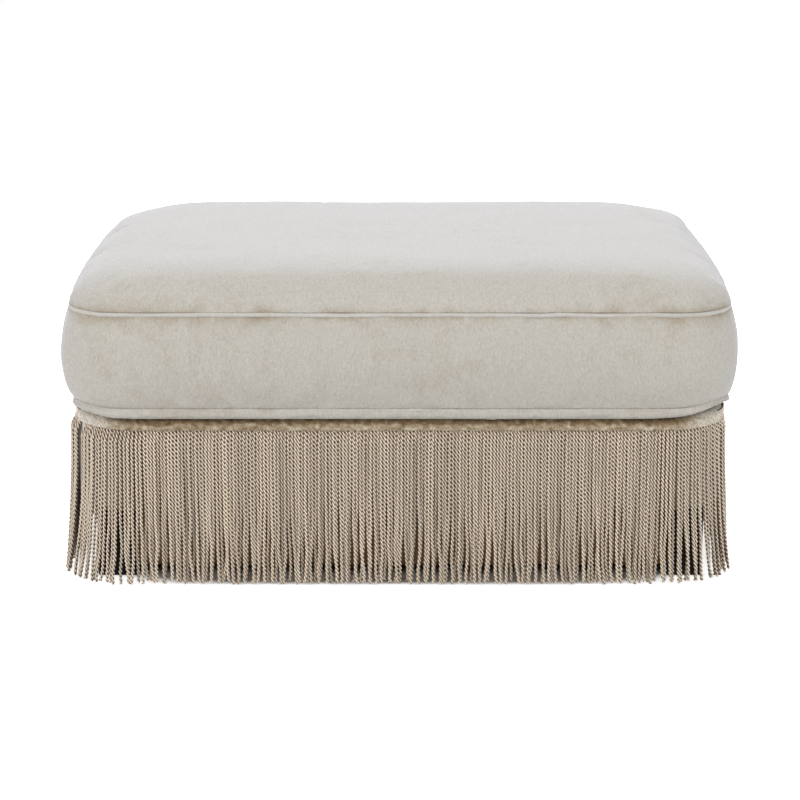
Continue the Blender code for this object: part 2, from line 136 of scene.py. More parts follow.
def closeTree(tree, given, geometry):
    # the export drops instances, so every tree ends in plain geometry with its material
    single = addNode(tree, "RealizeInstances", {}, [geometry])
    finished = addNode(tree, "SetMaterial", {}, {"Geometry": single, "Material": given["material"]})
    addNode(tree, "GroupOutput", {}, {"Geometry": finished})


def grow(piece, tree, values, material):
    # sets the tree's inputs by their identifiers, and leaves a plain mesh
    modifier = piece.modifiers.new(tree.name, "NODES")
    modifier.node_group = tree
    values = {**values, "material": material}
    for item in tree.interface.items_tree:
        if item.in_out == "INPUT" and item.name in values:
            modifier[item.identifier] = values[item.name]
    return frozen(piece)


def clamped(share):
    return min(1.0, max(0.0, share))


def eased(share):
    return share * share * (3 - 2 * share)


def drift(x, y, z):
    return noise.noise(Vector((x, y, z)))


def ring(outline, push, height):
    return [(x + outX * push, y + outY * push, height) for x, y, outX, outY in outline]


def roundedPlan(halfX, halfY, radius, arcSteps, longSteps, shortSteps, bow=0.0):
    # points of a rounded rectangle with their outward directions, from the right side's back end round
    found = []
    straightX, straightY = halfX - radius, halfY - radius
    for quarter, (signX, signY) in enumerate(((1, 1), (-1, 1), (-1, -1), (1, -1))):
        for step in range(arcSteps):
            angle = math.pi / 2 * (quarter + step / arcSteps)
            outX, outY = math.cos(angle), math.sin(angle)
            found.append((signX * straightX + radius * outX, signY * straightY + radius * outY, outX, outY))
        angle = math.pi / 2 * (quarter + 1)
        outX, outY = round(math.cos(angle)), round(math.sin(angle))
        longSide = quarter % 2 == 0
        steps = longSteps if longSide else shortSteps
        halfRun, reach = (straightX, halfY) if longSide else (straightY, halfX)
        for step in range(steps):
            u = 2 * step / steps - 1
            out = reach + (0 if longSide else bow * (1 - u * u))
            found.append((outX * out - outY * u * halfRun, outY * out + outX * u * halfRun, outX, outY))
    return found


def bridge(firstA, firstB, count, flip=False):
    # quads between two closed rings of points
    quads = [(firstA + i, firstA + (i + 1) % count, firstB + (i + 1) % count, firstB + i) for i in range(count)]
    return [quad[::-1] for quad in quads] if flip else quads


def wallThrough(outline, stations):
    # the outline pushed out and raised to each station, with quads between
    count = len(outline)
    points = [point for push, height in stations for point in ring(outline, push, height)]
    return points, [quad for i in range(len(stations) - 1) for quad in bridge(i * count, (i + 1) * count, count)]


view = {"lens": 111.5, "sensor": 36, "place": (0, -3.838, 1.1756), "pitchDown": 14.42}

camera = bpy.data.objects.new("camera", bpy.data.cameras.new("camera"))
scene.collection.objects.link(camera)
camera.data.lens = view["lens"]
camera.data.sensor_width = view["sensor"]
camera.location = view["place"]
camera.rotation_euler = (math.radians(90 - view["pitchDown"]), 0, 0)
scene.camera = camera
scene.view_settings.view_transform = "Standard"

# each softbox: place, size, watts, colour
softboxes = {
    "front": ((0, -2.8, 2.3), (3.0, 1.6), 34, "FFF8EE"), "top": ((0, 0.7, 3.2), (3.6, 1.6), 26, "F8F9FF"),
    "back": ((0, 2.6, 1.9), (4.6, 1.2), 93, "EBEFFC"), "left": ((-2.9, -1.9, 2.3), (1.8, 2.2), 67, "FDFDFF"),
    "right": ((2.9, -1.9, 2.3), (1.8, 2.2), 55, "FDFDFF"),
}
room = {
    "aim": (0, 0, 0.25), "sky": 0.30, "floorSize": 6.0, "glow": 0.75,
    # the paper glows outside a rounded shape in the plan, and not under the stool, where the paper's colour is also a
    # painted shadow
    "glowShape": (0.50, 0.40, 1.0), "glowStart": 0.855, "glowFull": 0.925,
}

for name, (place, size, watts, colour) in softboxes.items():
    lamp = bpy.data.lights.new(name + "_softbox", "AREA")
    lamp.shape = "RECTANGLE"
    lamp.size, lamp.size_y = size
    lamp.energy = watts
    lamp.color = linear(colour)[:3]
    holder = bpy.data.objects.new(name + "_softbox", lamp)
    holder.location = place
    holder.rotation_euler = (Vector(room["aim"]) - Vector(place)).to_track_quat("-Z", "Y").to_euler()
    scene.collection.objects.link(holder)


def seenDirectly(tree):
    # 1 for what the camera sees, also in a mirror or through glass
    path = addNode(tree, "LightPath").outputs
    seen = addNode(tree, "Math", "MAXIMUM", [path["Is Camera Ray"], path["Is Glossy Ray"]])
    return addNode(tree, "Math", "MAXIMUM", [seen, path["Is Transmission Ray"]])


world = bpy.data.worlds.new("pale_studio")
scene.world = world
world.use_nodes = True
tree = world.node_tree
sky = addNode(tree, "Background", {}, [linear("F4F6FA"), room["sky"]])
white = addNode(tree, "Background", {}, [linear("FFFFFF"), 1.0])
mixed = addNode(tree, "MixShader", {}, [seenDirectly(tree), sky, white])
tree.links.new(mixed.outputs[0], tree.nodes["World Output"].inputs[0])

# matt white paper backdrop: shows white to the camera, keeps the soft shadow, and under the stool its colour is a
# painted shadow
paper, tree, shader, place = newMaterial("matt_white_paper")
# the glow starts at the cords' ends, so that the floor under the stool stays dark
place = addNode(tree, "VectorMath", "DIVIDE", [place, room["glowShape"]])
parts = addNode(tree, "SeparateXYZ", {}, [place]).outputs
awayX, awayY = (addNode(tree, "Math", "POWER", [part, 6.0]) for part in parts[:2])
away = addNode(tree, "Math", "POWER", [addNode(tree, "Math", "ADD", [awayX, awayY]), 1 / 6])
clear = addNode(tree, "MapRange", {"interpolation_type": "SMOOTHSTEP"}, [away, room["glowStart"], room["glowFull"]])
shown = addNode(tree, "Math", "MULTIPLY", [clear, room["glow"]])
glow = addNode(tree, "Math", "MULTIPLY", [seenDirectly(tree), shown])
# painted shadow: the paper's colour is darker and browner under the stool, inside the same rounded shape
paperWithPaintedShadow = addNode(tree, "Mix", {"data_type": "RGBA"}, {0: clear, 6: linear("D0C9BE"), 7: linear("F4F4F4")})
tree.links.new(glow.outputs[0], shader.inputs["Emission Strength"])
surface(tree, shader, {"Roughness": 0.95, "Emission Color": linear("FFFFFF")}, paperWithPaintedShadow.outputs[2], None)

far = room["floorSize"]
floor = meshPiece("floor", [(-far, -far, 0), (far, -far, 0), (far, far, 0), (-far, far, 0)], [(0, 1, 2, 3)], paper)
print("camera, floor and light are set")


def velvetMaterial(name, shade, look):
    # cut-pile cotton velvet: the short upright pile scatters light at its tips, so it is matt and
    # warm face on, pale and cool at grazing angles, and brushed patches lie lighter or darker
    material, tree, shader, place = newMaterial(name)
    # the mesh's attribute "paintedLightAndNap" holds painted shade (above 0, brown and deep) and painted light (below
    # 0, pale)
    paintedLightAndNap = addNode(tree, "Attribute", {"attribute_name": "paintedLightAndNap"}).outputs["Fac"]
    # patches 15 to 50 mm across with frayed edges, where the pile leans away and shows its beige depth
    brushed = addNode(tree, "TexNoise", {}, {"Vector": place, "Scale": 1 / look["patch"], "Detail": 9.0,
        "Roughness": 0.74})
    broad = addNode(tree, "TexNoise", {}, {"Vector": place, "Scale": 1 / look["broadPatch"], "Detail": 1.0})
    both = addNode(tree, "Math", "MULTIPLY_ADD", [broad, 0.5, brushed])
    # the random patches and the painted shade together pick the colour, from upright pile through leaning pile to the
    # painted-shade browns
    patchesAndPaintedShade = addNode(tree, "MapRange", {}, [addNode(tree, "Math", "ADD", [paintedLightAndNap, both]), 0.5, 3.0])
    ramp = addNode(tree, "ValToRGB", {}, [patchesAndPaintedShade])
    stops = ramp.color_ramp.elements
    stops[0].position, stops[0].color = 0.09, linear(shade["upright"])
    stops[1].position, stops[1].color = 0.88, linear(shade["deepPaintedShade"])
    for at, key in ((0.24, "leaning"), (0.50, "paintedShade")):
        stops.new(at).color = linear(shade[key])
    # painted light: where the attribute is below 0 the colour turns pale
    paintedLight = addNode(tree, "MapRange", {}, [paintedLightAndNap, -0.1, -1.0])
    colour = addNode(tree, "Mix", {"data_type": "RGBA"}, {0: paintedLight, 6: ramp.outputs[0], 7: linear(shade["paintedLight"])})
    # single tufts are 0.2 mm, too fine to show, so the pile is drawn as 2.2 mm grain and short streaks
    grain = addNode(tree, "TexNoise", {}, {"Vector": place, "Scale": 1 / look["grain"], "Detail": 2.0,
        "Roughness": 0.6})
    fine, along = 1 / look["streakWidth"], 1 / look["streakLength"]
    combed = addNode(tree, "Mapping", {}, {"Vector": place, "Scale": (fine, along, along)})
    streaks = addNode(tree, "TexNoise", {}, {"Vector": combed, "Scale": 1.0, "Detail": 2.0, "Roughness": 0.6})
    pile = addNode(tree, "Math", "ADD", [grain, streaks])
    level = addNode(tree, "MapRange", {}, [pile, 0.7, 1.3, 1 - look["grainDepth"], 1 + look["grainDepth"]])
    speckled = addNode(tree, "VectorMath", "SCALE", {0: colour.outputs[2], "Scale": level})
    surface(tree, shader, {
        "Roughness": 0.90, "Specular IOR Level": 0.2, "Sheen Weight": look["sheen"], "Sheen Roughness": 0.35,
        "Sheen Tint": linear(shade["sheen"]),
    }, speckled.outputs[0], (look["bump"], 0.6 * mm, pile))
    return material


velvetLook = {
    "patch": 30 * mm, "broadPatch": 210 * mm, "grain": 2.2 * mm, "streakWidth": 1.8 * mm, "streakLength": 6 * mm,
    "grainDepth": 0.14, "sheen": 0.52, "bump": 0.7,
}
baseLook = {"patch": 13 * mm, "grainDepth": 0.34, "grain": 2.4 * mm, "streakWidth": 2.4 * mm,
    "streakLength": 3.6 * mm}
# in each velvet the two browns are painted shade, and the pale colour is painted light
cushionVelvet = velvetMaterial("cushion_velvet", {
    "upright": "B4B1A9", "leaning": "A49B8C", "paintedShade": "7C6B52", "deepPaintedShade": "4A3D2C", "paintedLight": "C6C4BE",
    "sheen": "F0F0F6",
}, velvetLook)
# a paler copy of the cushion's velvet: painted light on the top piping, where the round welt catches the light from
# above
paintedLightPipingVelvet = velvetMaterial("top_piping_velvet_painted_light", {
    "upright": "BCBAB4", "leaning": "B3AFA6", "paintedShade": "7C6B52", "deepPaintedShade": "4A3D2C", "paintedLight": "CECBC5",
    "sheen": "EEF1FB",
}, {**velvetLook, "grainDepth": 0.08})
baseVelvet = velvetMaterial("base_velvet", {
    "upright": "BCB4A5", "leaning": "A59882", "paintedShade": "7C694E", "deepPaintedShade": "33261A", "paintedLight": "D2CCC2",
    "sheen": "EEEAE6",
}, {**velvetLook, **baseLook})

# twisted cotton and viscose yarn: soft gloss on the crests; the colour ramp paints shade, near black, in the groove
# between the two plies and on the cords' sides, and a painted highlight, pale, on the crests
yarn, tree, shader, place = newMaterial("bullion_yarn")
ridge, cordShade = (addNode(tree, "Attribute", {"attribute_name": name}).outputs["Fac"] for name in ("cordPaintedLight",
    "cordShade"))
# painted shade and highlight: dark in the plies' groove, mid on the flanks, pale on the crests
ramp = addNode(tree, "ValToRGB", {}, [ridge])
stops = ramp.color_ramp.elements
stops[0].position, stops[0].color = 0.14, linear("1A120B")
stops[1].position, stops[1].color = 0.80, linear("E8DAC7")
stops.new(0.50).color = linear("836F59")
# single filaments are far finer than this; 0.9 mm strands are drawn so that the ply still looks spun
fibre = addNode(tree, "TexNoise", {}, {"Vector": place, "Scale": 1 / (0.9 * mm), "Detail": 2.0})
fibreLevel = addNode(tree, "MapRange", {}, [fibre, 0.3, 0.7, 0.90, 1.08])
shadeLevel = addNode(tree, "MapRange", {}, [cordShade, 0.0, 1.0, 0.82, 1.08])
level = addNode(tree, "Math", "MULTIPLY", [fibreLevel, shadeLevel])
coloured = addNode(tree, "VectorMath", "SCALE", {0: ramp, "Scale": level})
surface(tree, shader, {
    "Roughness": 0.55, "Specular IOR Level": 0.45, "Sheen Weight": 0.12, "Sheen Tint": linear("F7EBDD"),
}, coloured.outputs[0], (0.3, 0.3 * mm, fibre))


def clothMaterial(name, low, high, thread, slub):
    # plain-woven cotton: two sets of threads at right angles, matt, with a few thicker slubs
    material, tree, shader, place = newMaterial(name)
    warp, weft = (
        addNode(tree, "TexWave", {"bands_direction": way},
            {"Vector": place, "Scale": 1 / (thread * 3.2), "Distortion": 0.5})
        for way in ("DIAGONAL", "Z")
    )
    slubs = addNode(tree, "TexNoise", {}, {"Vector": place, "Scale": 1 / slub, "Detail": 3.0})
    weave = addNode(tree, "Math", "MULTIPLY", [warp, weft])
    level = addNode(tree, "Math", {"operation": "MULTIPLY_ADD", "use_clamp": True}, [weave, 0.4, slubs])
    colour = addNode(tree, "Mix", {"data_type": "RGBA"}, {0: level, 6: linear(low), 7: linear(high)})
    surface(tree, shader, {"Roughness": 0.92, "Specular IOR Level": 0.2}, colour.outputs[2], (0.4, 0.2 * mm, weave))
    return material


liningCloth = clothMaterial("brown_cotton_lining", "6E5940", "927A5C", 0.9 * mm, 14 * mm)
dustCloth = clothMaterial("black_spunbond_cloth", "0C0C0D", "1B1B1D", 1.1 * mm, 5 * mm)
waddingCloth = clothMaterial("polyester_wadding", "D5D3CC", "ECEAE4", 1.5 * mm, 9 * mm)
tapeCloth = clothMaterial("woven_polyester_tape", "9A9080", "B4AB9B", 1.0 * mm, 8 * mm)
webbingCloth = clothMaterial("rubber_and_jute_webbing", "3B3026", "6B5945", 1.6 * mm, 10 * mm)


def woodMaterial(name, dark, pale, grainWidth, roughness, bumpStrength, gloss=0.5):
    # sawn or lacquered hardwood: growth lines run along the piece, with fine open pores
    material, tree, shader, place = newMaterial(name)
    drawn = addNode(tree, "Mapping", {}, {"Vector": place, "Scale": (0.16, 0.16, 1.0)})
    rings = addNode(tree, "TexNoise", {}, {"Vector": drawn, "Scale": 1 / grainWidth, "Detail": 5.0,
        "Distortion": 1.2})
    pores = addNode(tree, "TexNoise", {}, {"Vector": drawn, "Scale": 6 / grainWidth, "Detail": 2.0})
    level = addNode(tree, "Math", {"operation": "MULTIPLY_ADD", "use_clamp": True}, [pores, 0.3, rings])
    colour = addNode(tree, "Mix", {"data_type": "RGBA"}, {0: level, 6: linear(dark), 7: linear(pale)})
    values = {"Roughness": roughness, "Specular IOR Level": gloss}
    surface(tree, shader, values, colour.outputs[2], (bumpStrength, 0.3 * mm, level))
    return material


beech = woodMaterial("sawn_beech", "9C7247", "CDA676", 9 * mm, 0.62, 0.35)
blackLacquer = woodMaterial("black_lacquered_beech", "040404", "0B0A0A", 7 * mm, 0.55, 0.12, 0.12)


def metalMaterial(name, colour, roughness, scratch):
    # plated steel: even colour, with fine handling scratches in the gloss
    material, tree, shader, place = newMaterial(name)
    marks = addNode(tree, "TexNoise", {}, {"Vector": place, "Scale": 1 / scratch, "Detail": 4.0, "Roughness": 0.7})
    level = addNode(tree, "MapRange", {}, [marks, 0.3, 0.7, roughness - 0.08, roughness + 0.08])
    tree.links.new(level.outputs[0], shader.inputs["Roughness"])
    shade = addNode(tree, "MapRange", {}, [marks, 0.3, 0.7, 0.92, 1.04])
    tinted = addNode(tree, "VectorMath", "SCALE", {0: linear(colour)[:3], "Scale": shade})
    surface(tree, shader, {"Metallic": 1.0}, tinted.outputs[0], None)
    return material


zincSteel = metalMaterial("zinc_plated_steel", "B9BBBD", 0.34, 1.2 * mm)
nickelZinc = metalMaterial("nickel_plated_zinc", "C9C6C0", 0.26, 0.9 * mm)


def plasticMaterial(name, low, high, roughness, grain):
    # moulded nylon: satin, with faint flow marks
    material, tree, shader, place = newMaterial(name)
    flow = addNode(tree, "TexNoise", {}, {"Vector": place, "Scale": 1 / grain, "Detail": 3.0})
    colour = addNode(tree, "Mix", {"data_type": "RGBA"}, {0: flow, 6: linear(low), 7: linear(high)})
    surface(tree, shader, {"Roughness": roughness}, colour.outputs[2], (0.15, 0.1 * mm, flow))
    return material


glideNylon = plasticMaterial("white_nylon_glide", "CFCDC8", "E2E0DB", 0.45, 2 * mm)
zipNylon = plasticMaterial("taupe_nylon_zip", "8F8778", "A59C8C", 0.4, 1.5 * mm)
print("materials are made")


cushion = {
    "halfLength": 485 * mm, "halfDepth": 361 * mm, "cornerRadius": 83 * mm, "endBow": 10.5 * mm,
    "bottomSeam": 265.1 * mm, "topSeam": 407.6 * mm, "crown": 55.5 * mm, "crownRun": 164 * mm, "crownSquareness": 2.3,
    "boxingBulge": 12.5 * mm, "bellyDrop": 14 * mm, "bellyRun": 24 * mm, "weltRoom": 4.05 * mm,
    # the cover round the sunk piping, on the panels and on the boxing: how far in and how far from the seam, in mm
    "lip": ((5.2, 0), (4.6, 2.1), (3.0, 3.1), (1.0, 3.35), (-0.35, 3.15)),
    "lowLip": ((5.2, 0), (4.6, 1.9), (3.0, 2.9), (1.2, 3.2), (-0.3, 3.2)),
    "highLip": ((5.2, 0), (4.6, 1.7), (3.0, 2.5), (0.7, 2.7), (-0.9, 2.4)),
    # the soft roll under the bottom seam, held as far as the first 3 mm: how far in and how far below it, in mm
    "roll": (
        (-1.9, 0.3), (-2.2, 1.2), (-2.4, 2.4), (-2.65, 4.4), (-2.7, 7.0), (-1.9, 9.3), (-0.2, 11.2), (2.4, 12.7),
        (5.6, 13.5), (9.0, 13.9),
    ),
    "heldRoll": 3.0,
    # rings of the boxing, in shares of its height, and of both panels, in mm in from the seam
    "boxingRings": (
        0.01, 0.03, 0.06, 0.10, 0.15, 0.21, 0.28, 0.35, 0.42, 0.5, 0.58, 0.65, 0.72, 0.79, 0.85, 0.90, 0.94, 0.97,
        0.99,
    ),
    "topRings": (
        0.25, 0.8, 1.7, 3.2, 5.2, 8, 12, 17, 23, 30, 38, 47, 57, 68, 80, 94, 108, 122, 136, 150, 164, 177, 190,
    ),
    "bottomRings": (14.5, 19, 24, 32, 42, 56, 72, 92, 115, 140, 165, 190),
    # corners of the underside that lift off the deck, and hollows in the crown: place, spread in mm, height in mm
    "lifts": ((0.475, -0.325, 44, 7.5), (-0.475, -0.325, 40, 3.0), (-0.475, 0.325, 44, 4.0), (0.475, 0.325, 44, 4.0)),
    "hollows": ((-0.465, 0.28, 60, 12.5), (0.42, 0.30, 42, 5.0), (0.05, -0.05, 190, 1.5)),
    "liftFade": 62 * mm, "liftTaper": 0.9,
    "tuck": {"place": (-0.49, -0.27), "spread": 62 * mm, "depth": 3.6 * mm, "height": 9 * mm},
    "zipHeight": 336.35 * mm, "zipHalf": 372 * mm, "zipRoom": 24 * mm,
    "innerCorner": 75 * mm, "middleInset": 190 * mm, "arcSteps": 16, "longSteps": 100, "shortSteps": 70,
    "softness": 1.5 * mm, "pucker": 0.5 * mm, "puckerPitch": 17 * mm,
    "pressure": 4.0, "frames": 16, "mostMove": 3.5 * mm, "fill": 0.9,
}


def sideDistance(x, y):
    # how far a point of the plan lies in from the seam; the corners stay rounded further in
    c = cushion
    straightY = c["halfDepth"] - c["cornerRadius"]
    u = min(1.0, abs(y) / straightY)
    fromEnd = c["halfLength"] + c["endBow"] * (1 - u * u) - abs(x)
    fromSide = c["halfDepth"] - abs(y)
    radius, inner = c["cornerRadius"], c["innerCorner"]
    near = radius
    if min(fromEnd, fromSide) < radius:
        near = radius - math.hypot(max(radius - fromEnd, 0), max(radius - fromSide, 0))
    if near < radius - inner:
        return near
    apart = abs(fromEnd - fromSide)
    if apart >= inner:
        return min(fromEnd, fromSide)
    return (fromEnd + fromSide + math.sqrt(2 * inner * inner - apart * apart)) / 2 - inner


def crownHeight(x, y):
    c = cushion
    inward = clamped(sideDistance(x, y) / c["crownRun"])
    return c["topSeam"] + c["crown"] * (1 - (1 - inward) ** c["crownSquareness"]) ** (1 / c["crownSquareness"])


def bellyHeight(x, y):
    c = cushion
    inward = clamped(sideDistance(x, y) / c["bellyRun"])
    return c["bottomSeam"] - c["bellyDrop"] * (1 - (1 - inward) ** (2 / 0.6)) ** 0.3


def awayFrom(x, y, place, spread):
    # the square of the distance, in spreads
    return ((x - place[0]) ** 2 + (y - place[1]) ** 2) / spread ** 2


def settled(x, y, z):
    # how far a point moves in, and up or down, where a corner lifts or the filling has settled
    c = cushion
    above = clamped((z - c["bottomSeam"]) / c["liftFade"])
    below = clamped((c["bottomSeam"] - z) / c["bellyDrop"])
    move = 0.0
    for centreX, centreY, spread, height in c["lifts"]:
        near = math.exp(-awayFrom(x, y, (centreX, centreY), spread * mm) / 2)
        move += height * mm * near * (1 - above * above * (3 - 2 * above)) * (1 + c["liftTaper"] * below)
    if z > c["topSeam"]:
        high = min(1.0, (z - c["topSeam"]) / c["crown"])
        for centreX, centreY, spread, height in c["hollows"]:
            move -= height * mm * math.exp(-awayFrom(x, y, (centreX, centreY), spread * mm) / 2) * high
    tuck = c["tuck"]
    away = awayFrom(x, y, tuck["place"], tuck["spread"]) + ((z - c["bottomSeam"]) / tuck["height"]) ** 2
    return Vector((tuck["depth"] * math.exp(-away / 2), 0, move))


def panel(points, faces, outline, heightAt, insets, firstRing, upwards):
    # the lip at the seam, rings in from it, then a grid in the middle; upwards is 1 or -1
    c = cushion
    below = upwards < 0
    seam = c["bottomSeam"] if below else c["topSeam"]
    count = len(outline)
    halfX, halfY = c["halfLength"] - c["middleInset"], c["halfDepth"] - c["middleInset"]
    across, deep = c["longSteps"] + c["arcSteps"], c["shortSteps"] + c["arcSteps"]
    # the middle's border, in step with the outline: half a corner's steps belong to each side
    border = []
    for i in range(count):
        j = (i - c["arcSteps"] // 2) % count
        if j < across:
            border.append((halfX - 2 * halfX * j / across, halfY))
        elif j < across + deep:
            border.append((-halfX, halfY - 2 * halfY * (j - across) / deep))
        elif j < 2 * across + deep:
            border.append((-halfX + 2 * halfX * (j - across - deep) / across, -halfY))
        else:
            border.append((halfX, -halfY + 2 * halfY * (j - 2 * across - deep) / deep))
    last = firstRing
    sewn = []
    lips = [(inset, upwards * rise, True) for inset, rise in c["lip"][1:]]
    rolls = [(inset, -fall, fall < c["heldRoll"]) for inset, fall in c["roll"]] if below else []
    for inset, rise, held in lips + rolls:
        first = len(points)
        points += ring(outline, -inset * mm, seam + rise * mm)
        faces += bridge(last, first, count, below)
        if held:
            sewn += range(first, first + count)
        last = first
    for inset in insets:
        inset *= mm
        blend = eased(clamped((inset - 10 * mm) / (c["middleInset"] - 10 * mm)))
        first = len(points)
        for (x, y, outX, outY), (u, v) in zip(outline, border):
            px = (x - outX * inset) * (1 - blend) + u * blend
            py = (y - outY * inset) * (1 - blend) + v * blend
            points.append((px, py, heightAt(px, py)))
        faces += bridge(last, first, count, below)
        last = first
    # the grid, whose border points are the last ring's
    index = {}
    for i, (u, v) in enumerate(border):
        index[(round((halfX - u) / (2 * halfX) * across), round((halfY - v) / (2 * halfY) * deep))] = last + i
    for i in range(across + 1):
        for j in range(deep + 1):
            if (i, j) not in index:
                px, py = halfX - 2 * halfX * i / across, halfY - 2 * halfY * j / deep
                index[(i, j)] = len(points)
                points.append((px, py, heightAt(px, py)))
    for i in range(across):
        for j in range(deep):
            quad = (index[(i, j)], index[(i + 1, j)], index[(i + 1, j + 1)], index[(i, j + 1)])
            faces.append(quad[::-1] if below else quad)
    return sewn


def cushionCover():
    c = cushion
    outline = roundedPlan(
        c["halfLength"], c["halfDepth"], c["cornerRadius"], c["arcSteps"], c["longSteps"], c["shortSteps"],
        c["endBow"])
    count = len(outline)
    low, high = c["bottomSeam"] + c["weltRoom"], c["topSeam"] - c["weltRoom"] + 0.9 * mm
    rings = [(-inset * mm, c["bottomSeam"] + rise * mm) for inset, rise in c["lowLip"]]
    for s in c["boxingRings"]:
        rings.append((c["boxingBulge"] * math.sin(math.pi * s) ** (0.8 if s > 0.5 else 0.68), low + (high - low) * s))
    rings += [(-inset * mm, c["topSeam"] - rise * mm) for inset, rise in c["highLip"][::-1]]
    points, faces = wallThrough(outline, rings)
    lips = len(c["lip"])
    pinned = [r * count + i for r in (*range(lips), *range(len(rings) - lips, len(rings))) for i in range(count)]
    pinned += panel(points, faces, outline, crownHeight, c["topRings"], (len(rings) - 1) * count, 1)
    belly = len(points)
    pinned += panel(points, faces, outline, bellyHeight, c["bottomRings"], 0, -1)
    # the flat of the underside lies on the deck, and the zip's tape holds the back of the boxing in
    lowest = c["bottomSeam"] - 0.96 * c["bellyDrop"]
    pinned += [i for i in range(belly, len(points)) if points[i][2] < lowest]
    for i, (x, y, z) in enumerate(points):
        if y > c["halfDepth"] and abs(x) < c["zipHalf"] and abs(z - c["zipHeight"]) < c["zipRoom"]:
            pinned.append(i)
    cover = meshPiece("cushion_cover", points, faces, cushionVelvet)
    # painted shade: beside the top seam, on the crown and on the boxing, the colour turns browner and darker in
    # ragged blotches
    paintedSeamShade = []
    for x, y, z in points:
        nearTop = math.exp(-abs(z - c["topSeam"]) / ((8 if z > c["topSeam"] else 9) * mm))
        ragged = noise.noise(Vector((x, y, z)) * 32) + 0.6 * noise.noise(Vector((x, y, z + 0.3)) * 75)
        paintedSeamShade.append((0.60 + 0.50 * ragged) * nearTop - 0.10)
    mark(cover, "paintedLightAndNap", paintedSeamShade)
    return cover, pinned, outline


def soften(cover, pinned):
    # slow swells in the filling, and small puckers that fade away from the seams
    c = cushion
    mesh = cover.data
    fixed = set(pinned)
    normals = [v.normal.copy() for v in mesh.vertices]
    for vertex, normal in zip(mesh.vertices, normals):
        if vertex.index in fixed:
            continue
        x, y, z = vertex.co
        swell = drift(x * 7, y * 7, z * 9 + 3) + 0.5 * drift(x * 15, y * 15, z * 15 + 8)
        inward = min(abs(z - c["topSeam"]), abs(z - c["bottomSeam"]))
        if z > c["topSeam"] or z < c["bottomSeam"]:
            inward = max(inward, sideDistance(x, y))
        near = math.exp(-inward / (16 * mm)) * min(1.0, inward / (3 * mm))
        run = 1 / c["puckerPitch"]
        pucker = drift(x * run, y * run, 5) + 0.5 * drift(x * run * 2, y * run * 2, 9)
        ease = min(1.0, inward / (14 * mm))
        vertex.co += normal * (c["softness"] * swell * ease + c["pucker"] * pucker * near)
    for vertex in mesh.vertices:
        vertex.co += settled(*vertex.co)


def places(mesh):
    found = np.empty(len(mesh.vertices) * 3, np.float32)
    mesh.vertices.foreach_get("co", found)
    return found.reshape(-1, 3)


def inflate(cover, pinned):
    # cloth under the filling's pressure, sewn down at both seams, with how far it moves capped
    c = cushion
    before = places(cover.data)
    group = cover.vertex_groups.new(name="sewn")
    group.add(pinned, 1.0, "REPLACE")
    cloth = cover.modifiers.new("cloth", "CLOTH")
    settings = cloth.settings
    settings.quality = 5
    settings.mass = 0.35
    settings.tension_stiffness = settings.compression_stiffness = 40
    settings.shear_stiffness = 20
    settings.bending_stiffness = 2.0
    settings.use_pressure = True
    settings.uniform_pressure_force = c["pressure"]
    settings.vertex_group_mass = "sewn"
    settings.shrink_min = -0.012
    settings.effector_weights.gravity = 0
    cloth.point_cache.frame_start = 1
    cloth.point_cache.frame_end = c["frames"]
    for step in range(1, c["frames"] + 1):
        scene.frame_set(step)
    frozen(cover)
    scene.frame_set(1)
    mesh = cover.data
    move = places(mesh) - before
    size = np.linalg.norm(move, axis=1, keepdims=True)
    kept = c["mostMove"] * np.tanh(size / c["mostMove"])
    moved = before + move * kept / np.maximum(size, 1e-9)
    mesh.vertices.foreach_set("co", moved.astype(np.float32).ravel())
    mesh.update()
    cover.vertex_groups.clear()
    print("the cover moved by up to", round(float(kept.max()) / mm, 2), "mm")


cover, pinned, seamPlan = cushionCover()
soften(cover, pinned)
inflate(cover, pinned)
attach(cover, "cushion")
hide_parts("cushion_core", "cushion_top_panel", "cushion_boxing", "cushion_bottom_panel")
print("cushion cover is made")

pipingSunk = 1.4 * mm
piping = {"diameter": 7.1 * mm, "sides": 14, "waver": 3.2 * mm, "waverPitch": 60 * mm, "seed": 4.0}

pipingTree, given = newTree("piping", piping)
t = pipingTree
line = addNode(t, "MeshToCurve", {}, [given["Geometry"]])
scaled = addNode(t, "VectorMath", "DIVIDE", [addNode(t, "InputPosition"), given["waverPitch"]])
waver = addNode(t, "TexNoise", {"noise_dimensions": "4D"},
    {"Vector": scaled, "W": given["seed"], "Scale": 1.0, "Detail": 1.0})
centred = addNode(t, "VectorMath", "SUBTRACT", [waver.outputs["Color"], (0.5, 0.5, 0.5)])
offset = addNode(t, "VectorMath", "SCALE", {0: centred, "Scale": given["waver"]})
moved = addNode(t, "SetPosition", {}, {"Geometry": line, "Offset": offset})
radius = addNode(t, "Math", "MULTIPLY", [given["diameter"], 0.5])
profile = addNode(t, "CurvePrimitiveCircle", {}, {"Resolution": given["sides"], "Radius": radius})
closeTree(t, given, addNode(t, "CurveToMesh", {}, {"Curve": moved, "Profile Curve": profile}))

for name, height, node, velvet in (
    ("top_piping", cushion["topSeam"] - 0.6 * mm, "cushion_top_welt", paintedLightPipingVelvet),
    ("bottom_piping", cushion["bottomSeam"], "cushion_bottom_welt", cushionVelvet),
):
    welt = linePiece(name, [Vector(spot) + settled(*spot) for spot in ring(seamPlan, -pipingSunk, height)],
        closed=True)
    grow(welt, pipingTree, {**piping, "seed": piping["seed"] + height * 40}, velvet)
    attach(welt, "cushion")
    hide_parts(node)
print("piping is made")

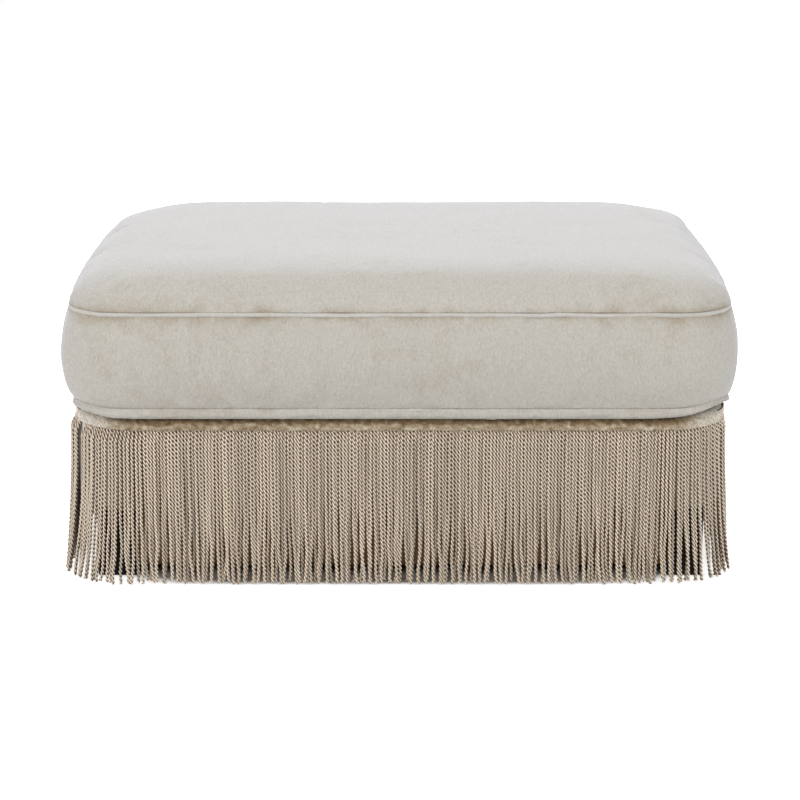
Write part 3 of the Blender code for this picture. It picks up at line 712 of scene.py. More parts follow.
base = {
    "railX": 479.4 * mm, "railY": 347.4 * mm, "cornerRadius": 103.5 * mm, "cornerX": 375.9 * mm,
    "cornerY": 243.9 * mm,
    "coverOuter": 2.3 * mm, "coverWall": 1.6 * mm, "deckTop": 250.8 * mm, "deckEdge": 8 * mm,
    "lipBottom": 109.2 * mm, "lipWidth": 16 * mm, "arcSteps": 14, "longSteps": 90, "shortSteps": 60,
    "openFrom": 395 * mm, "openOver": 50 * mm,
}
cx, cy, rx, ry = base["cornerX"], base["cornerY"], base["railX"], base["railY"]


def openCorner(x):
    # 0 under the cushion's overhang, 1 where the rounded corners leave the deck in the open
    return clamped((abs(x) - base["openFrom"]) / base["openOver"])


def deckSag(x, y):
    # the pad's velvet gives a little between the webbing straps
    u, v = x / (rx - 40 * mm), y / (ry - 40 * mm)
    if abs(u) >= 1 or abs(v) >= 1:
        return 0.0
    dip = (1 - u * u) * (1 - v * v)
    return -1.2 * mm * dip + 0.25 * mm * drift(x * 22, y * 22, 2) * dip


def baseCover():
    b = base
    outline = roundedPlan(rx, ry, b["cornerRadius"], b["arcSteps"], b["longSteps"], b["shortSteps"])
    count = len(outline)
    outer, under, edge = b["coverOuter"], b["lipBottom"], b["deckEdge"]
    stations = [
        (-b["lipWidth"], under + 0.1 * mm), (-b["lipWidth"] / 2, under + 0.1 * mm), (-2 * mm, under),
        (outer - 1 * mm, under + 0.4 * mm), (outer, under + 2 * mm),
    ]
    low, high = under + 2 * mm, b["deckTop"] - edge
    stations += [(outer, low + (high - low) * i / 16) for i in range(1, 17)]
    for i in range(1, 6):
        angle = math.pi / 2 * i / 5
        stations.append((outer - edge * (1 - math.cos(angle)), high + edge * math.sin(angle)))
    points, faces = wallThrough(outline, stations)
    last = (len(stations) - 1) * count
    for share in (0.03, 0.08, 0.16, 0.26, 0.38, 0.52, 0.66, 0.8, 0.92):
        first = len(points)
        for x, y, outX, outY in outline:
            px, py = x * (1 - share), y * (1 - share)
            px, py = px + outX * (outer - edge) * (1 - share), py + outY * (outer - edge) * (1 - share)
            points.append((px, py, b["deckTop"] + deckSag(px, py)))
        faces += bridge(last, first, count)
        last = first
    points.append((0, 0, b["deckTop"] + deckSag(0, 0)))
    faces += [(last + i, last + (i + 1) % count, len(points) - 1) for i in range(count)]
    piece = meshPiece("base_cover_velvet", points, faces, baseVelvet)
    # painted shade on the sides behind the cords and on the deck under the cushion, and painted light where the sides
    # and the deck are open round the corners
    paintedShade = []
    for x, y, z in points:
        free = clamped((abs(x) - cx - 20 * mm) / (60 * mm)) * clamped((abs(y) - cy + 60 * mm) / (60 * mm))
        side = clamped((b["deckTop"] - 4 * mm - z) / (12 * mm))
        paintedShade.append(side * (1.2 - 2.2 * free) + (1 - side) * (0.8 - 1.1 * openCorner(x)))
    mark(piece, "paintedLightAndNap", paintedShade)
    return thickened(piece, b["coverWall"])


cloth = baseCover()
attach(cloth, "base")
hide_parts("base_cover")
print("base cover is made")

deckPad = {"bottom": 230.5 * mm, "top": 248.5 * mm, "edge": 5 * mm, "fill": 0.7}


def padMesh():
    p = deckPad
    outline = roundedPlan(rx, ry, base["cornerRadius"], 10, 40, 28)
    count = len(outline)
    stations = []
    for i in range(5):
        angle = math.pi / 2 * i / 4
        inward = -p["edge"] * math.sin(math.pi / 2 - angle) * 0.6
        stations.append((inward, p["bottom"] + p["edge"] * (1 - math.cos(angle))))
    for i in range(1, 5):
        angle = math.pi / 2 * i / 4
        stations.append((-p["edge"] * (1 - math.cos(angle)), p["top"] - p["edge"] * (1 - math.sin(angle))))
    points, faces = wallThrough(outline, stations)
    for first, height, flip in ((0, p["bottom"], True), ((len(stations) - 1) * count, p["top"], False)):
        last = first
        for share in (0.1, 0.3, 0.55, 0.8):
            start = len(points)
            for x, y, z in points[first:first + count]:
                px, py = x * (1 - share), y * (1 - share)
                points.append((px, py, height + (0 if flip else deckSag(px, py))))
            faces += bridge(last, start, count, flip)
            last = start
        points.append((0, 0, height + (0 if flip else deckSag(0, 0))))
        fan = [(last + i, last + (i + 1) % count, len(points) - 1) for i in range(count)]
        faces += [f[::-1] for f in fan] if flip else fan
    return meshPiece("deck_pad_wadding", points, faces, waddingCloth)


pad = padMesh()
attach(pad, "base")
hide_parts("deck_pad")

facing = {
    "inner": 5.9 * mm, "outer": 7.4 * mm, "top": 251.9 * mm, "bottom": 233.3 * mm,
    "rollStart": 240.5 * mm, "rollIn": 12 * mm, "wall": 1.1 * mm,
    # how far it goes round each corner, in shares of the quarter turn
    "wrap": {("front", -1): 0.71, ("front", 1): 0.66, ("back", -1): 0.62, ("back", 1): 0.62},
    "cornerSteps": 36, "straightSteps": 150, "crease": 0.9 * mm, "waver": 0.35 * mm,
    # heights over which the painted shade under the cushion's overhang comes in
    "endFold": 0.9 * mm, "paintedShadeFrom": 239.0 * mm, "paintedShadeTo": 246.5 * mm,
}


def facingPiece(side, facingY):
    # turned down over the header, softly rounded at its top edge and folded under at its lower one
    f, radius = facing, base["cornerRadius"]
    outer, bottom = f["outer"], f["bottom"]
    shares = [math.pi / 2 * i / f["cornerSteps"] for i in range(f["cornerSteps"] + 1)]
    path = [(-cx, -share * f["wrap"][side, -1]) for share in reversed(shares)]
    path += [(cx * (2 * i / f["straightSteps"] - 1), 0) for i in range(1, f["straightSteps"])]
    path += [(cx, share * f["wrap"][side, 1]) for share in shares]
    section = []
    for i in range(9):
        angle = math.pi / 2 * (1 - i / 8)
        height = f["rollStart"] + (f["top"] - f["rollStart"]) * math.sin(angle)
        section.append((outer - f["rollIn"] * (1 - math.cos(angle)), height))
    section += [(outer, f["rollStart"] - (f["rollStart"] - bottom - 1.6 * mm) * i / 3) for i in range(1, 4)]
    section += [
        (outer + 0.15 * mm, bottom + 0.9 * mm), (outer - 0.2 * mm, bottom + 0.2 * mm), (f["inner"] + 0.2 * mm,
            bottom),
    ]
    points, faces, paintedLightAndNap = [], [], []
    for step, (centreX, turn) in enumerate(path):
        out = Vector((math.sin(turn), facingY * math.cos(turn)))
        # the ends are folded under, so that they stand a little proud
        end = max(0.0, 1 - min(step, len(path) - 1 - step) / 3)
        spot = Vector((centreX, facingY * cy)) + radius * out
        run = spot.x + (turn * radius if turn else 0)
        bend = min(1.0, abs(turn) / 0.5)
        for j, (push, z) in enumerate(section):
            free = min(1.0, j / 4)
            fold = drift(run * 70, z * 60, facingY * 3) * f["waver"]
            crease = max(0.0, drift(run * 95 + z * 120, z * 35, 7 + facingY)) * f["crease"] * bend
            lift = (fold + crease) * free + f["endFold"] * min(1.0, end * 2)
            drop = drift(run * 30, 3, facingY) * 0.35 * mm if j > 8 else 0
            points.append((spot.x + out.x * (push + lift), spot.y + out.y * (push + lift), z + drop))
            # painted shade, brown, under the cushion's overhang and along the turned-under lower edge; painted
            # highlight, pale, on folds round the open corners and on the folded ends; paler towards the open corners
            # as painted light; mottled tone all along
            bare = openCorner(spot.x)
            ragged = drift(run * 75, 4, facingY) + 0.6 * drift(run * 260, 2, facingY)
            share = clamped((z - f["paintedShadeFrom"] + 1.8 * mm * ragged) / (f["paintedShadeTo"] - f["paintedShadeFrom"]))
            streak = drift(run * 55 + z * 190, z * 60, 7 + facingY)
            paintedHighlight = max(0.0, 1 - abs(streak) / 0.09) * 0.9 * bare + end * 0.9
            paintedShadeTurnedUnder = 0.3 if j >= len(section) - 2 else 0.0
            mottled = 0.75 * drift(run * 120, z * 150, 11 + facingY) + 0.45 * drift(run * 310, z * 340, facingY)
            deep = 0.50 + 0.64 * share * share * (3 - 2 * share) * (1 - bare)
            paintedLightAndNap.append(deep + mottled * (1 - 0.6 * bare) - min(1.3, paintedHighlight) - 0.6 * bare + paintedShadeTurnedUnder)
    rows = len(section)
    for i in range(len(path) - 1):
        for j in range(rows - 1):
            quad = (i * rows + j, i * rows + j + 1, (i + 1) * rows + j + 1, (i + 1) * rows + j)
            faces.append(quad if facingY < 0 else quad[::-1])
    piece = meshPiece("facing_velvet_" + side, points, faces, baseVelvet)
    mark(piece, "paintedLightAndNap", paintedLightAndNap)
    return thickened(piece, f["wall"])


for side, facingY in (("front", -1), ("back", 1)):
    cloth = facingPiece(side, facingY)
    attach(cloth, "base")
    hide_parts("facing_" + side)
print("facings are made")

fringe = {
    "headerBottom": 233.0 * mm, "headerTop": 248.6 * mm, "rootPush": 4.1 * mm, "rootDrop": 0.4 * mm,
    "pitch": 5.0 * mm, "cornerPitch": 5.6 * mm, "cornerRagged": 3.0 * mm, "farLayRings": 7,
    # how far out the cords stand at the shoulder and at the tips, on the left and right pieces
    "leftFlare": (7.0 * mm, 14.5 * mm), "rightFlare": (1.8 * mm, 6.0 * mm),
    # where the facing's folded end parts the cords, and how far it pushes them to either side
    "part": {"front_left": (0.335, 7.0 * mm, 11.0 * mm), "front_right": (0.66, 1.5 * mm, 1.5 * mm)},
    "partReach": 40 * mm,
}
cord = {
    "length": 231.5 * mm, "ragged": 5.0 * mm, "diameter": 5.6 * mm, "lay": 13.2 * mm, "layRings": 9, "sides": 8,
    "valley": 0.16, "topWidth": 0.86, "gripDrop": 6.5 * mm, "gripWidth": 0.36, "phaseSpread": 0.10, "laySpread": 0.06,
    "shoulderDrop": 12 * mm, "shoulderFlare": 4.5 * mm, "tipFlare": 12.0 * mm, "cornerFlare": 13 * mm,
    "clump": 2.6 * mm, "clumpWidth": 12 * mm, "wander": 3.8 * mm, "crowding": 0.6 * mm, "tipLean": 4.2 * mm,
    "pairing": 2.2 * mm, "pairDepth": 3.0 * mm, "scatter": 2.6 * mm, "stagger": 1.6 * mm, "seed": 3,
}

cordTree, given = newTree("bullion_cords", cord)
t = cordTree


def swaying(x, y, z, shift=(0.0, 0.0, 0.0)):
    # smooth noise from about -1 to 1
    spot = addNode(t, "VectorMath", "ADD", [addNode(t, "CombineXYZ", {}, [x, y, z]), shift])
    grains = addNode(t, "TexNoise", {}, {"Vector": spot, "Scale": 1.0, "Detail": 1.0})
    return addNode(t, "MapRange", {"clamp": False}, [grains, 0.25, 0.75, -1.0, 1.0])


# the root of each cord, a point of the line along the header, remembers where it is and which way is outwards
tangent = addNode(t, "InputTangent")
outward = addNode(t, "VectorMath", "NORMALIZE", [addNode(t, "VectorMath", "CROSS_PRODUCT", [tangent, (0, 0, 1)])])
along = addNode(t, "SplineParameter").outputs
remembered = {
    "cordOut": ("FLOAT_VECTOR", outward), "cordRoot": ("FLOAT_VECTOR", addNode(t, "InputPosition")),
    "cordNumber": ("INT", addNode(t, "InputIndex")), "cordRun": ("FLOAT", along["Length"]),
    "cordRunShare": ("FLOAT", along["Factor"]),
}
roots = addNode(t, "MeshToCurve", {}, [given["Geometry"]])
for label, (kind, value) in remembered.items():
    roots = addNode(t, "StoreNamedAttribute", {"data_type": kind}, {"Geometry": roots, "Name": label, "Value": value})
cordOut, cordRoot, cordNumber, cordRun, cordRunShare, cordPart, cordPaintedLight = (
    addNode(t, "InputNamedAttribute", {"data_type": kind}, {"Name": label})
    for label, (kind, value) in {**remembered, "cordPart": ("FLOAT", 0), "cordPaintedLight": ("FLOAT", 0)}.items()
)
layCount = addNode(t, "Math", "DIVIDE", [given["length"], given["lay"]])
ringCount = addNode(t, "Math", "MULTIPLY", [layCount, given["layRings"]])
plumb = addNode(t, "CurvePrimitiveLine", {}, {"Start": (0, 0, 0), "End": (0, 0, -1)})
plumb = addNode(t, "ResampleCurve", {"mode": "COUNT"}, {"Curve": plumb, "Count": ringCount})
hung = addNode(t, "InstanceOnPoints", {}, {"Points": roots, "Instance": plumb})
hung = addNode(t, "RealizeInstances", {}, [hung])

# each cord's own way down: a flare, clumps of two and three, a wander and some depth
share = addNode(t, "SplineParameter").outputs["Factor"]
seed = given["seed"]
chance, own, ownDepth, phase = (
    addNode(t, "RandomValue", {"data_type": "FLOAT"}, {
        2: least, 3: 1.0, "ID": cordNumber, "Seed": addNode(t, "Math", "ADD", [seed, further]),
    }).outputs[1]
    for least, further in ((0.0, 0.0), (-1.0, 90.0), (-1.0, 50.0), (0.0, 50.0))
)
cut = addNode(t, "Math", "MULTIPLY", [chance, given["ragged"]])
reach = addNode(t, "Math", "SUBTRACT", [given["length"], cut])
drop = addNode(t, "Math", "MULTIPLY", [share, reach])
early, late, latest, flareShare = (addNode(t, "Math", "POWER", [share, power]) for power in (0.55, 2.6, 6.0, 2.0))
clumped = swaying(addNode(t, "Math", "DIVIDE", [cordRun, given["clumpWidth"]]), share, seed)
clumped = addNode(t, "Math", "MULTIPLY", [clumped, late])
clumped = addNode(t, "Math", "MULTIPLY", [clumped, given["clump"]])
ownRow = addNode(t, "Math", "MULTIPLY", [cordNumber, 7.31])
wandered = swaying(ownRow, addNode(t, "Math", "MULTIPLY", [share, 3.0]), seed)
wandered = addNode(t, "Math", "MULTIPLY", [wandered, late])
across = addNode(t, "Math", "MULTIPLY_ADD", [wandered, given["wander"], clumped])
crowded = addNode(t, "Math", "MULTIPLY", [early, given["crowding"]])
across = addNode(t, "Math", "MULTIPLY_ADD", [own, crowded, across])
tipLean = addNode(t, "Math", "MULTIPLY", [latest, given["tipLean"]])
across = addNode(t, "Math", "MULTIPLY_ADD", [own, tipLean, across])
# every second cord slips behind its neighbour towards the tips
odd = addNode(t, "Math", "MODULO", [cordNumber, 2.0])
parity = addNode(t, "Math", "MULTIPLY_ADD", [odd, 2.0, -1.0])
paired = addNode(t, "Math", "MULTIPLY", [latest, given["pairing"]])
across = addNode(t, "Math", "MULTIPLY_ADD", [parity, paired, across])
# roots pushed apart by the facing's folded end come together again further down
together = addNode(t, "MapRange", {"interpolation_type": "SMOOTHSTEP"}, [share, 0.5, 1.0, 1.0, 0.25])
across = addNode(t, "Math", "MULTIPLY_ADD", [cordPart, together, across])
scattered = swaying(ownRow, share, seed, (31.7, 0.0, 4.9))
scattered = addNode(t, "Math", "MULTIPLY", [scattered, early])
scattered = addNode(t, "Math", "MULTIPLY", [scattered, given["scatter"]])
shoulder = addNode(t, "Math", "DIVIDE", [drop, given["shoulderDrop"]])
smoother = {"interpolation_type": "SMOOTHERSTEP"}
shoulder = addNode(t, "MapRange", smoother, [shoulder, 0.0, 1.6, 0.0, given["shoulderFlare"]])
farther = addNode(t, "Math", "SUBTRACT", [given["tipFlare"], given["shoulderFlare"]])
fanned = addNode(t, "Math", "SINE", [addNode(t, "Math", "MULTIPLY", [cordRunShare, math.pi])])
farther = addNode(t, "Math", "MULTIPLY_ADD", [fanned, given["cornerFlare"], farther])
flare = addNode(t, "Math", "MULTIPLY_ADD", [farther, flareShare, shoulder])
push = addNode(t, "Math", "ADD", [flare, scattered])
settledIn = addNode(t, "Math", "DIVIDE", [shoulder, given["shoulderFlare"]])
ownDepth = addNode(t, "Math", "MULTIPLY", [ownDepth, settledIn])
push = addNode(t, "Math", "MULTIPLY_ADD", [ownDepth, given["stagger"], push])
behind = addNode(t, "Math", "MULTIPLY", [flareShare, given["pairDepth"]])
push = addNode(t, "Math", "MULTIPLY_ADD", [parity, behind, push])
parts = addNode(t, "SeparateXYZ", {}, [cordOut]).outputs
sideways = addNode(t, "CombineXYZ", {}, [addNode(t, "Math", "MULTIPLY", [parts[1], -1.0]), parts[0], 0.0])
fallen = addNode(t, "CombineXYZ", {}, [0.0, 0.0, addNode(t, "Math", "MULTIPLY", [drop, -1.0])])
place = cordRoot
for way, length in ((cordOut, push), (sideways, across), (fallen, 1.0)):
    step = addNode(t, "VectorMath", "SCALE", {0: way, "Scale": length})
    place = addNode(t, "VectorMath", "ADD", [place, step])
hung = addNode(t, "SetPosition", {}, {"Geometry": hung, "Position": place})

# the twist: the plies line up along the header and drift apart further down
turns = addNode(t, "Math", "DIVIDE", [drop, given["lay"]])
tighter = addNode(t, "Math", "MULTIPLY_ADD", [chance, given["laySpread"], 1.0])
turns = addNode(t, "Math", "MULTIPLY", [turns, tighter])
turns = addNode(t, "Math", "MULTIPLY_ADD", [phase, given["phaseSpread"], turns])
tilt = addNode(t, "Math", "MULTIPLY", [turns, -2 * math.pi])
hung = addNode(t, "SetCurveTilt", {}, {"Curve": hung, "Tilt": tilt})
# the end swells a little and closes; the header's grip leaves a dark hole between cords,
# which are packed tight below it and fuller where they hang free
left = addNode(t, "Math", "SUBTRACT", [reach, drop])
width = 1.0
for limits in (
    [left, 0.0, 3.0 * mm, 0.45, 1.22], [left, 4.0 * mm, 14.0 * mm, 1.0, 0.82],
    [drop, 0.0, given["gripDrop"], given["gripWidth"], 1.0], [share, 0.05, 0.65, given["topWidth"], 1.0],
):
    part = addNode(t, "MapRange", {"interpolation_type": "SMOOTHSTEP"}, limits)
    width = addNode(t, "Math", "MULTIPLY", [width, part])
hung = addNode(t, "SetCurveRadius", {}, {"Curve": hung, "Radius": width})
hung = addNode(t, "StoreNamedAttribute", {"data_type": "FLOAT"},
    {"Geometry": hung, "Name": "cordShade", "Value": chance})
hung = addNode(t, "RemoveAttribute", {}, {"Geometry": hung, "Name": "cordRoot"})

# two plies side by side: a circle drawn in at its waist
radius = addNode(t, "Math", "MULTIPLY", [given["diameter"], 0.5])
profile = addNode(t, "CurvePrimitiveCircle", {}, {"Resolution": given["sides"], "Radius": radius})
spot = addNode(t, "InputPosition")
wide = addNode(t, "Math", "DIVIDE", [addNode(t, "SeparateXYZ", {}, [spot]), radius])
wide = addNode(t, "Math", "ABSOLUTE", [wide])
lobe = addNode(t, "MapRange", {}, [addNode(t, "Math", "POWER", [wide, 1.2]), 0.0, 1.0, given["valley"]])
waisted = addNode(t, "VectorMath", "SCALE", {0: spot, "Scale": lobe})
# painted light begins as how far out along the lobe a point lies: pale at the crest, dark at the waist
profile = addNode(t, "StoreNamedAttribute", {"data_type": "FLOAT"},
    {"Geometry": profile, "Name": "cordPaintedLight", "Value": wide})
profile = addNode(t, "SetPosition", {}, {"Geometry": profile, "Position": waisted})
spun = addNode(t, "CurveToMesh", {}, {"Curve": hung, "Profile Curve": profile, "Fill Caps": True})
spun = addNode(t, "SetShadeSmooth", {}, [spun])
# painted shade: the yarn's colour darkens towards the plies' waist and where the surface turns away from facing out,
# in the notches between cords
facesOut = addNode(t, "VectorMath", "DOT_PRODUCT", [addNode(t, "InputNormal"), cordOut]).outputs["Value"]
facesOut = addNode(t, "Math", "MAXIMUM", [facesOut, 0.0])
lit = addNode(t, "Math", "MULTIPLY_ADD", [facesOut, 0.9, cordPaintedLight])
lit = addNode(t, "Math", "DIVIDE", [lit, 1.9])
spun = addNode(t, "StoreNamedAttribute", {"data_type": "FLOAT"},
    {"Geometry": spun, "Name": "cordPaintedLight", "Value": lit})
closeTree(t, given, addNode(t, "RemoveAttribute", {}, {"Geometry": spun, "Name": "cordOut"}))


def sidePath(startX, startY, endX, endY):
    start, end = Vector((startX, startY)), Vector((endX, endY))
    heading = (end - start).normalized()
    out = Vector((heading.y, -heading.x))
    height = fringe["headerBottom"] + fringe["rootDrop"]
    return [Vector((*(start.lerp(end, i / 8) + out * fringe["rootPush"]), height)) for i in range(9)]


def arcPath(centreX, centreY, angles, push, height):
    # round a corner of the base, pushed out from its face
    radius = base["cornerRadius"] + push
    centre = Vector((centreX, centreY))
    return [Vector((*(centre + radius * Vector((math.cos(angle), math.sin(angle)))), height)) for angle in angles]


def rootsAlong(path, pitch, partAt, before, after):
    # evenly spaced, half a pitch in from each end, with how far the facing's folded end pushes each aside
    runs = [0.0]
    for a, b in zip(path, path[1:]):
        runs.append(runs[-1] + (b - a).length)
    count = round(runs[-1] / pitch)
    roots, parted = [], []
    for i in range(count):
        run = runs[-1] * (i + 0.5) / count
        step = max(j for j in range(len(path) - 1) if runs[j] <= run)
        roots.append(path[step].lerp(path[step + 1], (run - runs[step]) / (runs[step + 1] - runs[step])))
        away = run - partAt * runs[-1]
        parted.append((after if away > 0 else -before) * max(0.0, 1 - abs(away) / fringe["partReach"]))
    return roots, parted


# where each run of cords goes, and which solids it stands for
runs = {
    "front_1": (sidePath(-cx, -ry, 0, -ry), ["fringe_front"]),
    "front_2": (sidePath(0, -ry, cx, -ry), ["fringe_front"]),
    "right": (sidePath(rx, -cy, rx, cy), ["fringe_right"]),
    "back_1": (sidePath(cx, ry, 0, ry), ["fringe_back"]), "back_2": (sidePath(0, ry, -cx, ry), ["fringe_back"]),
    "left": (sidePath(-rx, cy, -rx, -cy), ["fringe_left"]),
}
for corner, signX, signY, first in (
    ("front_left", -1, -1, -math.pi), ("front_right", 1, -1, -math.pi / 2),
    ("back_right", 1, 1, 0), ("back_left", -1, 1, math.pi / 2),
):
    angles = [first + math.pi / 2 * i / 60 for i in range(61)]
    path = arcPath(signX * cx, signY * cy, angles, fringe["rootPush"], fringe["headerBottom"] + fringe["rootDrop"])
    runs[corner] = (path, [f"fringe_{corner}_1", f"fringe_{corner}_2"])

cordCount = 0
for number, (name, (path, hidden)) in enumerate(runs.items()):
    curved = len(hidden) == 2
    pitch = fringe["cornerPitch"] if curved else fringe["pitch"]
    roots, parted = rootsAlong(path, pitch, *fringe["part"].get(name, (0, 0, 0)))
    values = {**cord, "cornerFlare": 0.0, "seed": cord["seed"] + number}
    if curved:
        values.update({"cornerFlare": cord["cornerFlare"], "ragged": fringe["cornerRagged"]})
    if not name.startswith("front"):
        values["layRings"] = fringe["farLayRings"]
    for side in ("left", "right"):
        if side in name:
            values["shoulderFlare"], values["tipFlare"] = fringe[side + "Flare"]
    cords = linePiece("cords_" + name, roots)
    mark(cords, "cordPart", parted)
    grow(cords, cordTree, values, yarn)
    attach(cords, "base")
    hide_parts(*hidden)
    cordCount += len(roots)
print(cordCount, "cords are made")

# four rows show where the header is bare, and two lie under the facing
coveredRows = 2
headerPush = 3.9 * mm
braid = {
    "rows": 4, "rowHeight": (fringe["headerTop"] - fringe["headerBottom"]) / 4, "pitch": 3.4 * mm,
    "stitchSize": (4.6 * mm, 1.5 * mm, 2.3 * mm), "slant": 0.62, "thickness": 2.0 * mm, "seed": 5,
}

braidTree, given = newTree("header_braid", {**braid, "height": 0.0})
t = braidTree
line = addNode(t, "MeshToCurve", {}, [given["Geometry"]])
# a flat ribbon carries the stitches
ribbonLine = addNode(t, "ResampleCurve", {"mode": "LENGTH"}, {"Curve": line, "Length": 6.0 * mm})
ribbonProfile = addNode(t, "CurvePrimitiveQuadrilateral", {},
    {"Width": given["thickness"], "Height": given["height"]})
ribbon = addNode(t, "CurveToMesh", {}, {"Curve": ribbonLine, "Profile Curve": ribbonProfile})
# painted shade and highlight of the yarn's ramp: the ribbon between the stitches darker, the stitches paler
ribbon = addNode(t, "StoreNamedAttribute", {"data_type": "FLOAT"},
    {"Geometry": ribbon, "Name": "cordPaintedLight", "Value": 0.30})
# rows of slanting stitches, each row slanting the other way
spots = addNode(t, "ResampleCurve", {"mode": "LENGTH"}, {"Curve": line, "Length": given["pitch"]})
outward = addNode(t, "VectorMath", "CROSS_PRODUCT", [addNode(t, "InputTangent"), (0, 0, 1)])
vectorKind = {"data_type": "FLOAT_VECTOR"}
spots = addNode(t, "StoreNamedAttribute", vectorKind, {"Geometry": spots, "Name": "stitchOut", "Value": outward})
spots = addNode(t, "CurveToPoints", {"mode": "EVALUATED"}, {"Curve": spots})
copies = addNode(t, "DuplicateElements", {"domain": "POINT"}, {"Geometry": spots, "Amount": given["rows"]}).outputs
row = copies["Duplicate Index"]
stitchOut = addNode(t, "InputNamedAttribute", vectorKind, {"Name": "stitchOut"})
middle = addNode(t, "Math", "MULTIPLY", [addNode(t, "Math", "SUBTRACT", [given["rows"], 1.0]), 0.5])
rise = addNode(t, "Math", "SUBTRACT", [row, middle])
rise = addNode(t, "Math", "MULTIPLY", [rise, given["rowHeight"]])
halfThick = addNode(t, "Math", "MULTIPLY", [given["thickness"], 0.5])
proud = addNode(t, "VectorMath", "SCALE", {0: stitchOut, "Scale": halfThick})
offset = addNode(t, "VectorMath", "ADD", [addNode(t, "CombineXYZ", {}, {2: rise}), proud])
stitchSpots = addNode(t, "SetPosition", {}, {"Geometry": copies["Geometry"], "Offset": offset})
side = addNode(t, "Math", "MULTIPLY_ADD", [addNode(t, "Math", "MODULO", [row, 2.0]), -2.0, 1.0])
jitter = addNode(t, "RandomValue", {"data_type": "FLOAT"}, {2: -0.12, 3: 0.12, "Seed": given["seed"]}).outputs[1]
slant = addNode(t, "Math", "MULTIPLY_ADD", [side, given["slant"], jitter])
facingOut = addNode(t, "AlignRotationToVector", {"axis": "Y", "pivot_axis": "Z"}, {"Vector": stitchOut})
leaned = addNode(t, "AxisAngleToRotation", {}, {"Axis": (0, 1, 0), "Angle": slant})
turned = addNode(t, "RotateRotation", {"rotation_space": "LOCAL"}, [facingOut, leaned])
stitch = addNode(t, "MeshUVSphere", {}, {"Segments": 6, "Rings": 4, "Radius": 0.5})
stitched = addNode(t, "InstanceOnPoints", {}, {
    "Points": stitchSpots, "Instance": stitch, "Rotation": turned, "Scale": given["stitchSize"],
})
stitched = addNode(t, "RealizeInstances", {}, [stitched])
stitched = addNode(t, "StoreNamedAttribute", {"data_type": "FLOAT"},
    {"Geometry": stitched, "Name": "cordPaintedLight", "Value": 0.86})
stitched = addNode(t, "SetShadeSmooth", {}, [stitched])
both = addNode(t, "JoinGeometry")
t.links.new(ribbon.outputs[0], both.inputs[0])
t.links.new(stitched.outputs[0], both.inputs[0])
both = addNode(t, "StoreNamedAttribute", {"data_type": "FLOAT"},
    {"Geometry": both, "Name": "cordShade", "Value": 0.55})
closeTree(t, given, both)

# each header goes round the two corners beside its middle angle, each for its own share of the quarter turn
wrap, spare = facing["wrap"], 0.007
for name, middleAngle, halves, rows in (
    ("right", 0, (1 - wrap["front", 1] - spare, 1 - wrap["back", 1] - spare), braid["rows"]),
    ("left", math.pi, (1 - wrap["back", -1] - spare, 1 - wrap["front", -1] - spare), braid["rows"]),
    ("back", math.pi / 2, (wrap["back", 1] + spare, wrap["back", -1] + spare), coveredRows),
    ("front", -math.pi / 2, (wrap["front", -1] + spare, wrap["front", 1] + spare), coveredRows),
):
    height = rows * braid["rowHeight"]
    path = []
    for side, share in zip((-1, 1), halves):
        corner = middleAngle + side * math.pi / 4
        centre = (math.copysign(cx, math.cos(corner)), math.copysign(cy, math.sin(corner)))
        angles = [middleAngle + side * math.pi / 2 * share * (1 - i / 16 if side < 0 else i / 16) for i in range(17)]
        path += arcPath(*centre, angles, headerPush, fringe["headerBottom"] + height / 2)
    header = linePiece("header_braid_" + name, path)
    grow(header, braidTree, {**braid, "rows": rows, "height": height}, yarn)
    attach(header, "base")
    hidden = [n for n in nodes if n.startswith("fringe_") and (name in n if name in ("front",
        "back") else n == "fringe_" + name)]
    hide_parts(*hidden)
print("header braid is made")

lining = {
    "bottom": 17 * mm, "top": 107.8 * mm, "inset": 30 * mm, "fold": 3 * mm, "foldPitch": 110 * mm, "wall": 0.96 * mm,
    "rows": 12, "column": 6 * mm,
}
halfRuns = {"long": 389.2 * mm, "short": 262.2 * mm}  # from foot to foot


def liningPiece(name, place, halfRun, phase):
    # hangs in soft folds that open towards the hem
    drape = lining
    columns, rows = round(2 * halfRun / drape["column"]), drape["rows"]
    points, faces = [], []
    for j in range(rows + 1):
        z = drape["top"] - (drape["top"] - drape["bottom"]) * j / rows
        for i in range(columns + 1):
            u = halfRun * (2 * i / columns - 1)
            spread = 0.35 + 0.65 * j / rows
            bend = math.sin(2 * math.pi * (u + halfRun) / drape["foldPitch"] + 0.6 * math.sin(u * 17 + phase))
            wave = drape["fold"] * spread * bend
            wave += 0.8 * mm * spread * drift(u * 25, z * 9, phase)
            hem = 0.5 * mm if j >= rows - 1 else 0
            points.append((*place(u, wave + hem), z))
    for j in range(rows):
        for i in range(columns):
            a = j * (columns + 1) + i
            faces.append((a, a + 1, a + columns + 2, a + columns + 1))
    return thickened(meshPiece(name, points, faces, liningCloth), drape["wall"], 0)


inX, inY = rx - lining["inset"], ry - lining["inset"]
liningRuns = (
    ("front", lambda u, v: (u, -inY + v), halfRuns["long"]), ("back", lambda u, v: (u, inY + v), halfRuns["long"]),
    ("left", lambda u, v: (-inX + v, u), halfRuns["short"]), ("right", lambda u, v: (inX + v, u), halfRuns["short"]),
)
for phase, (side, place, halfRun) in enumerate(liningRuns):
    cloth = liningPiece("lining_cloth_" + side, place, halfRun, phase * 2.3)
    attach(cloth, "base")
    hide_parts("lining_" + side)


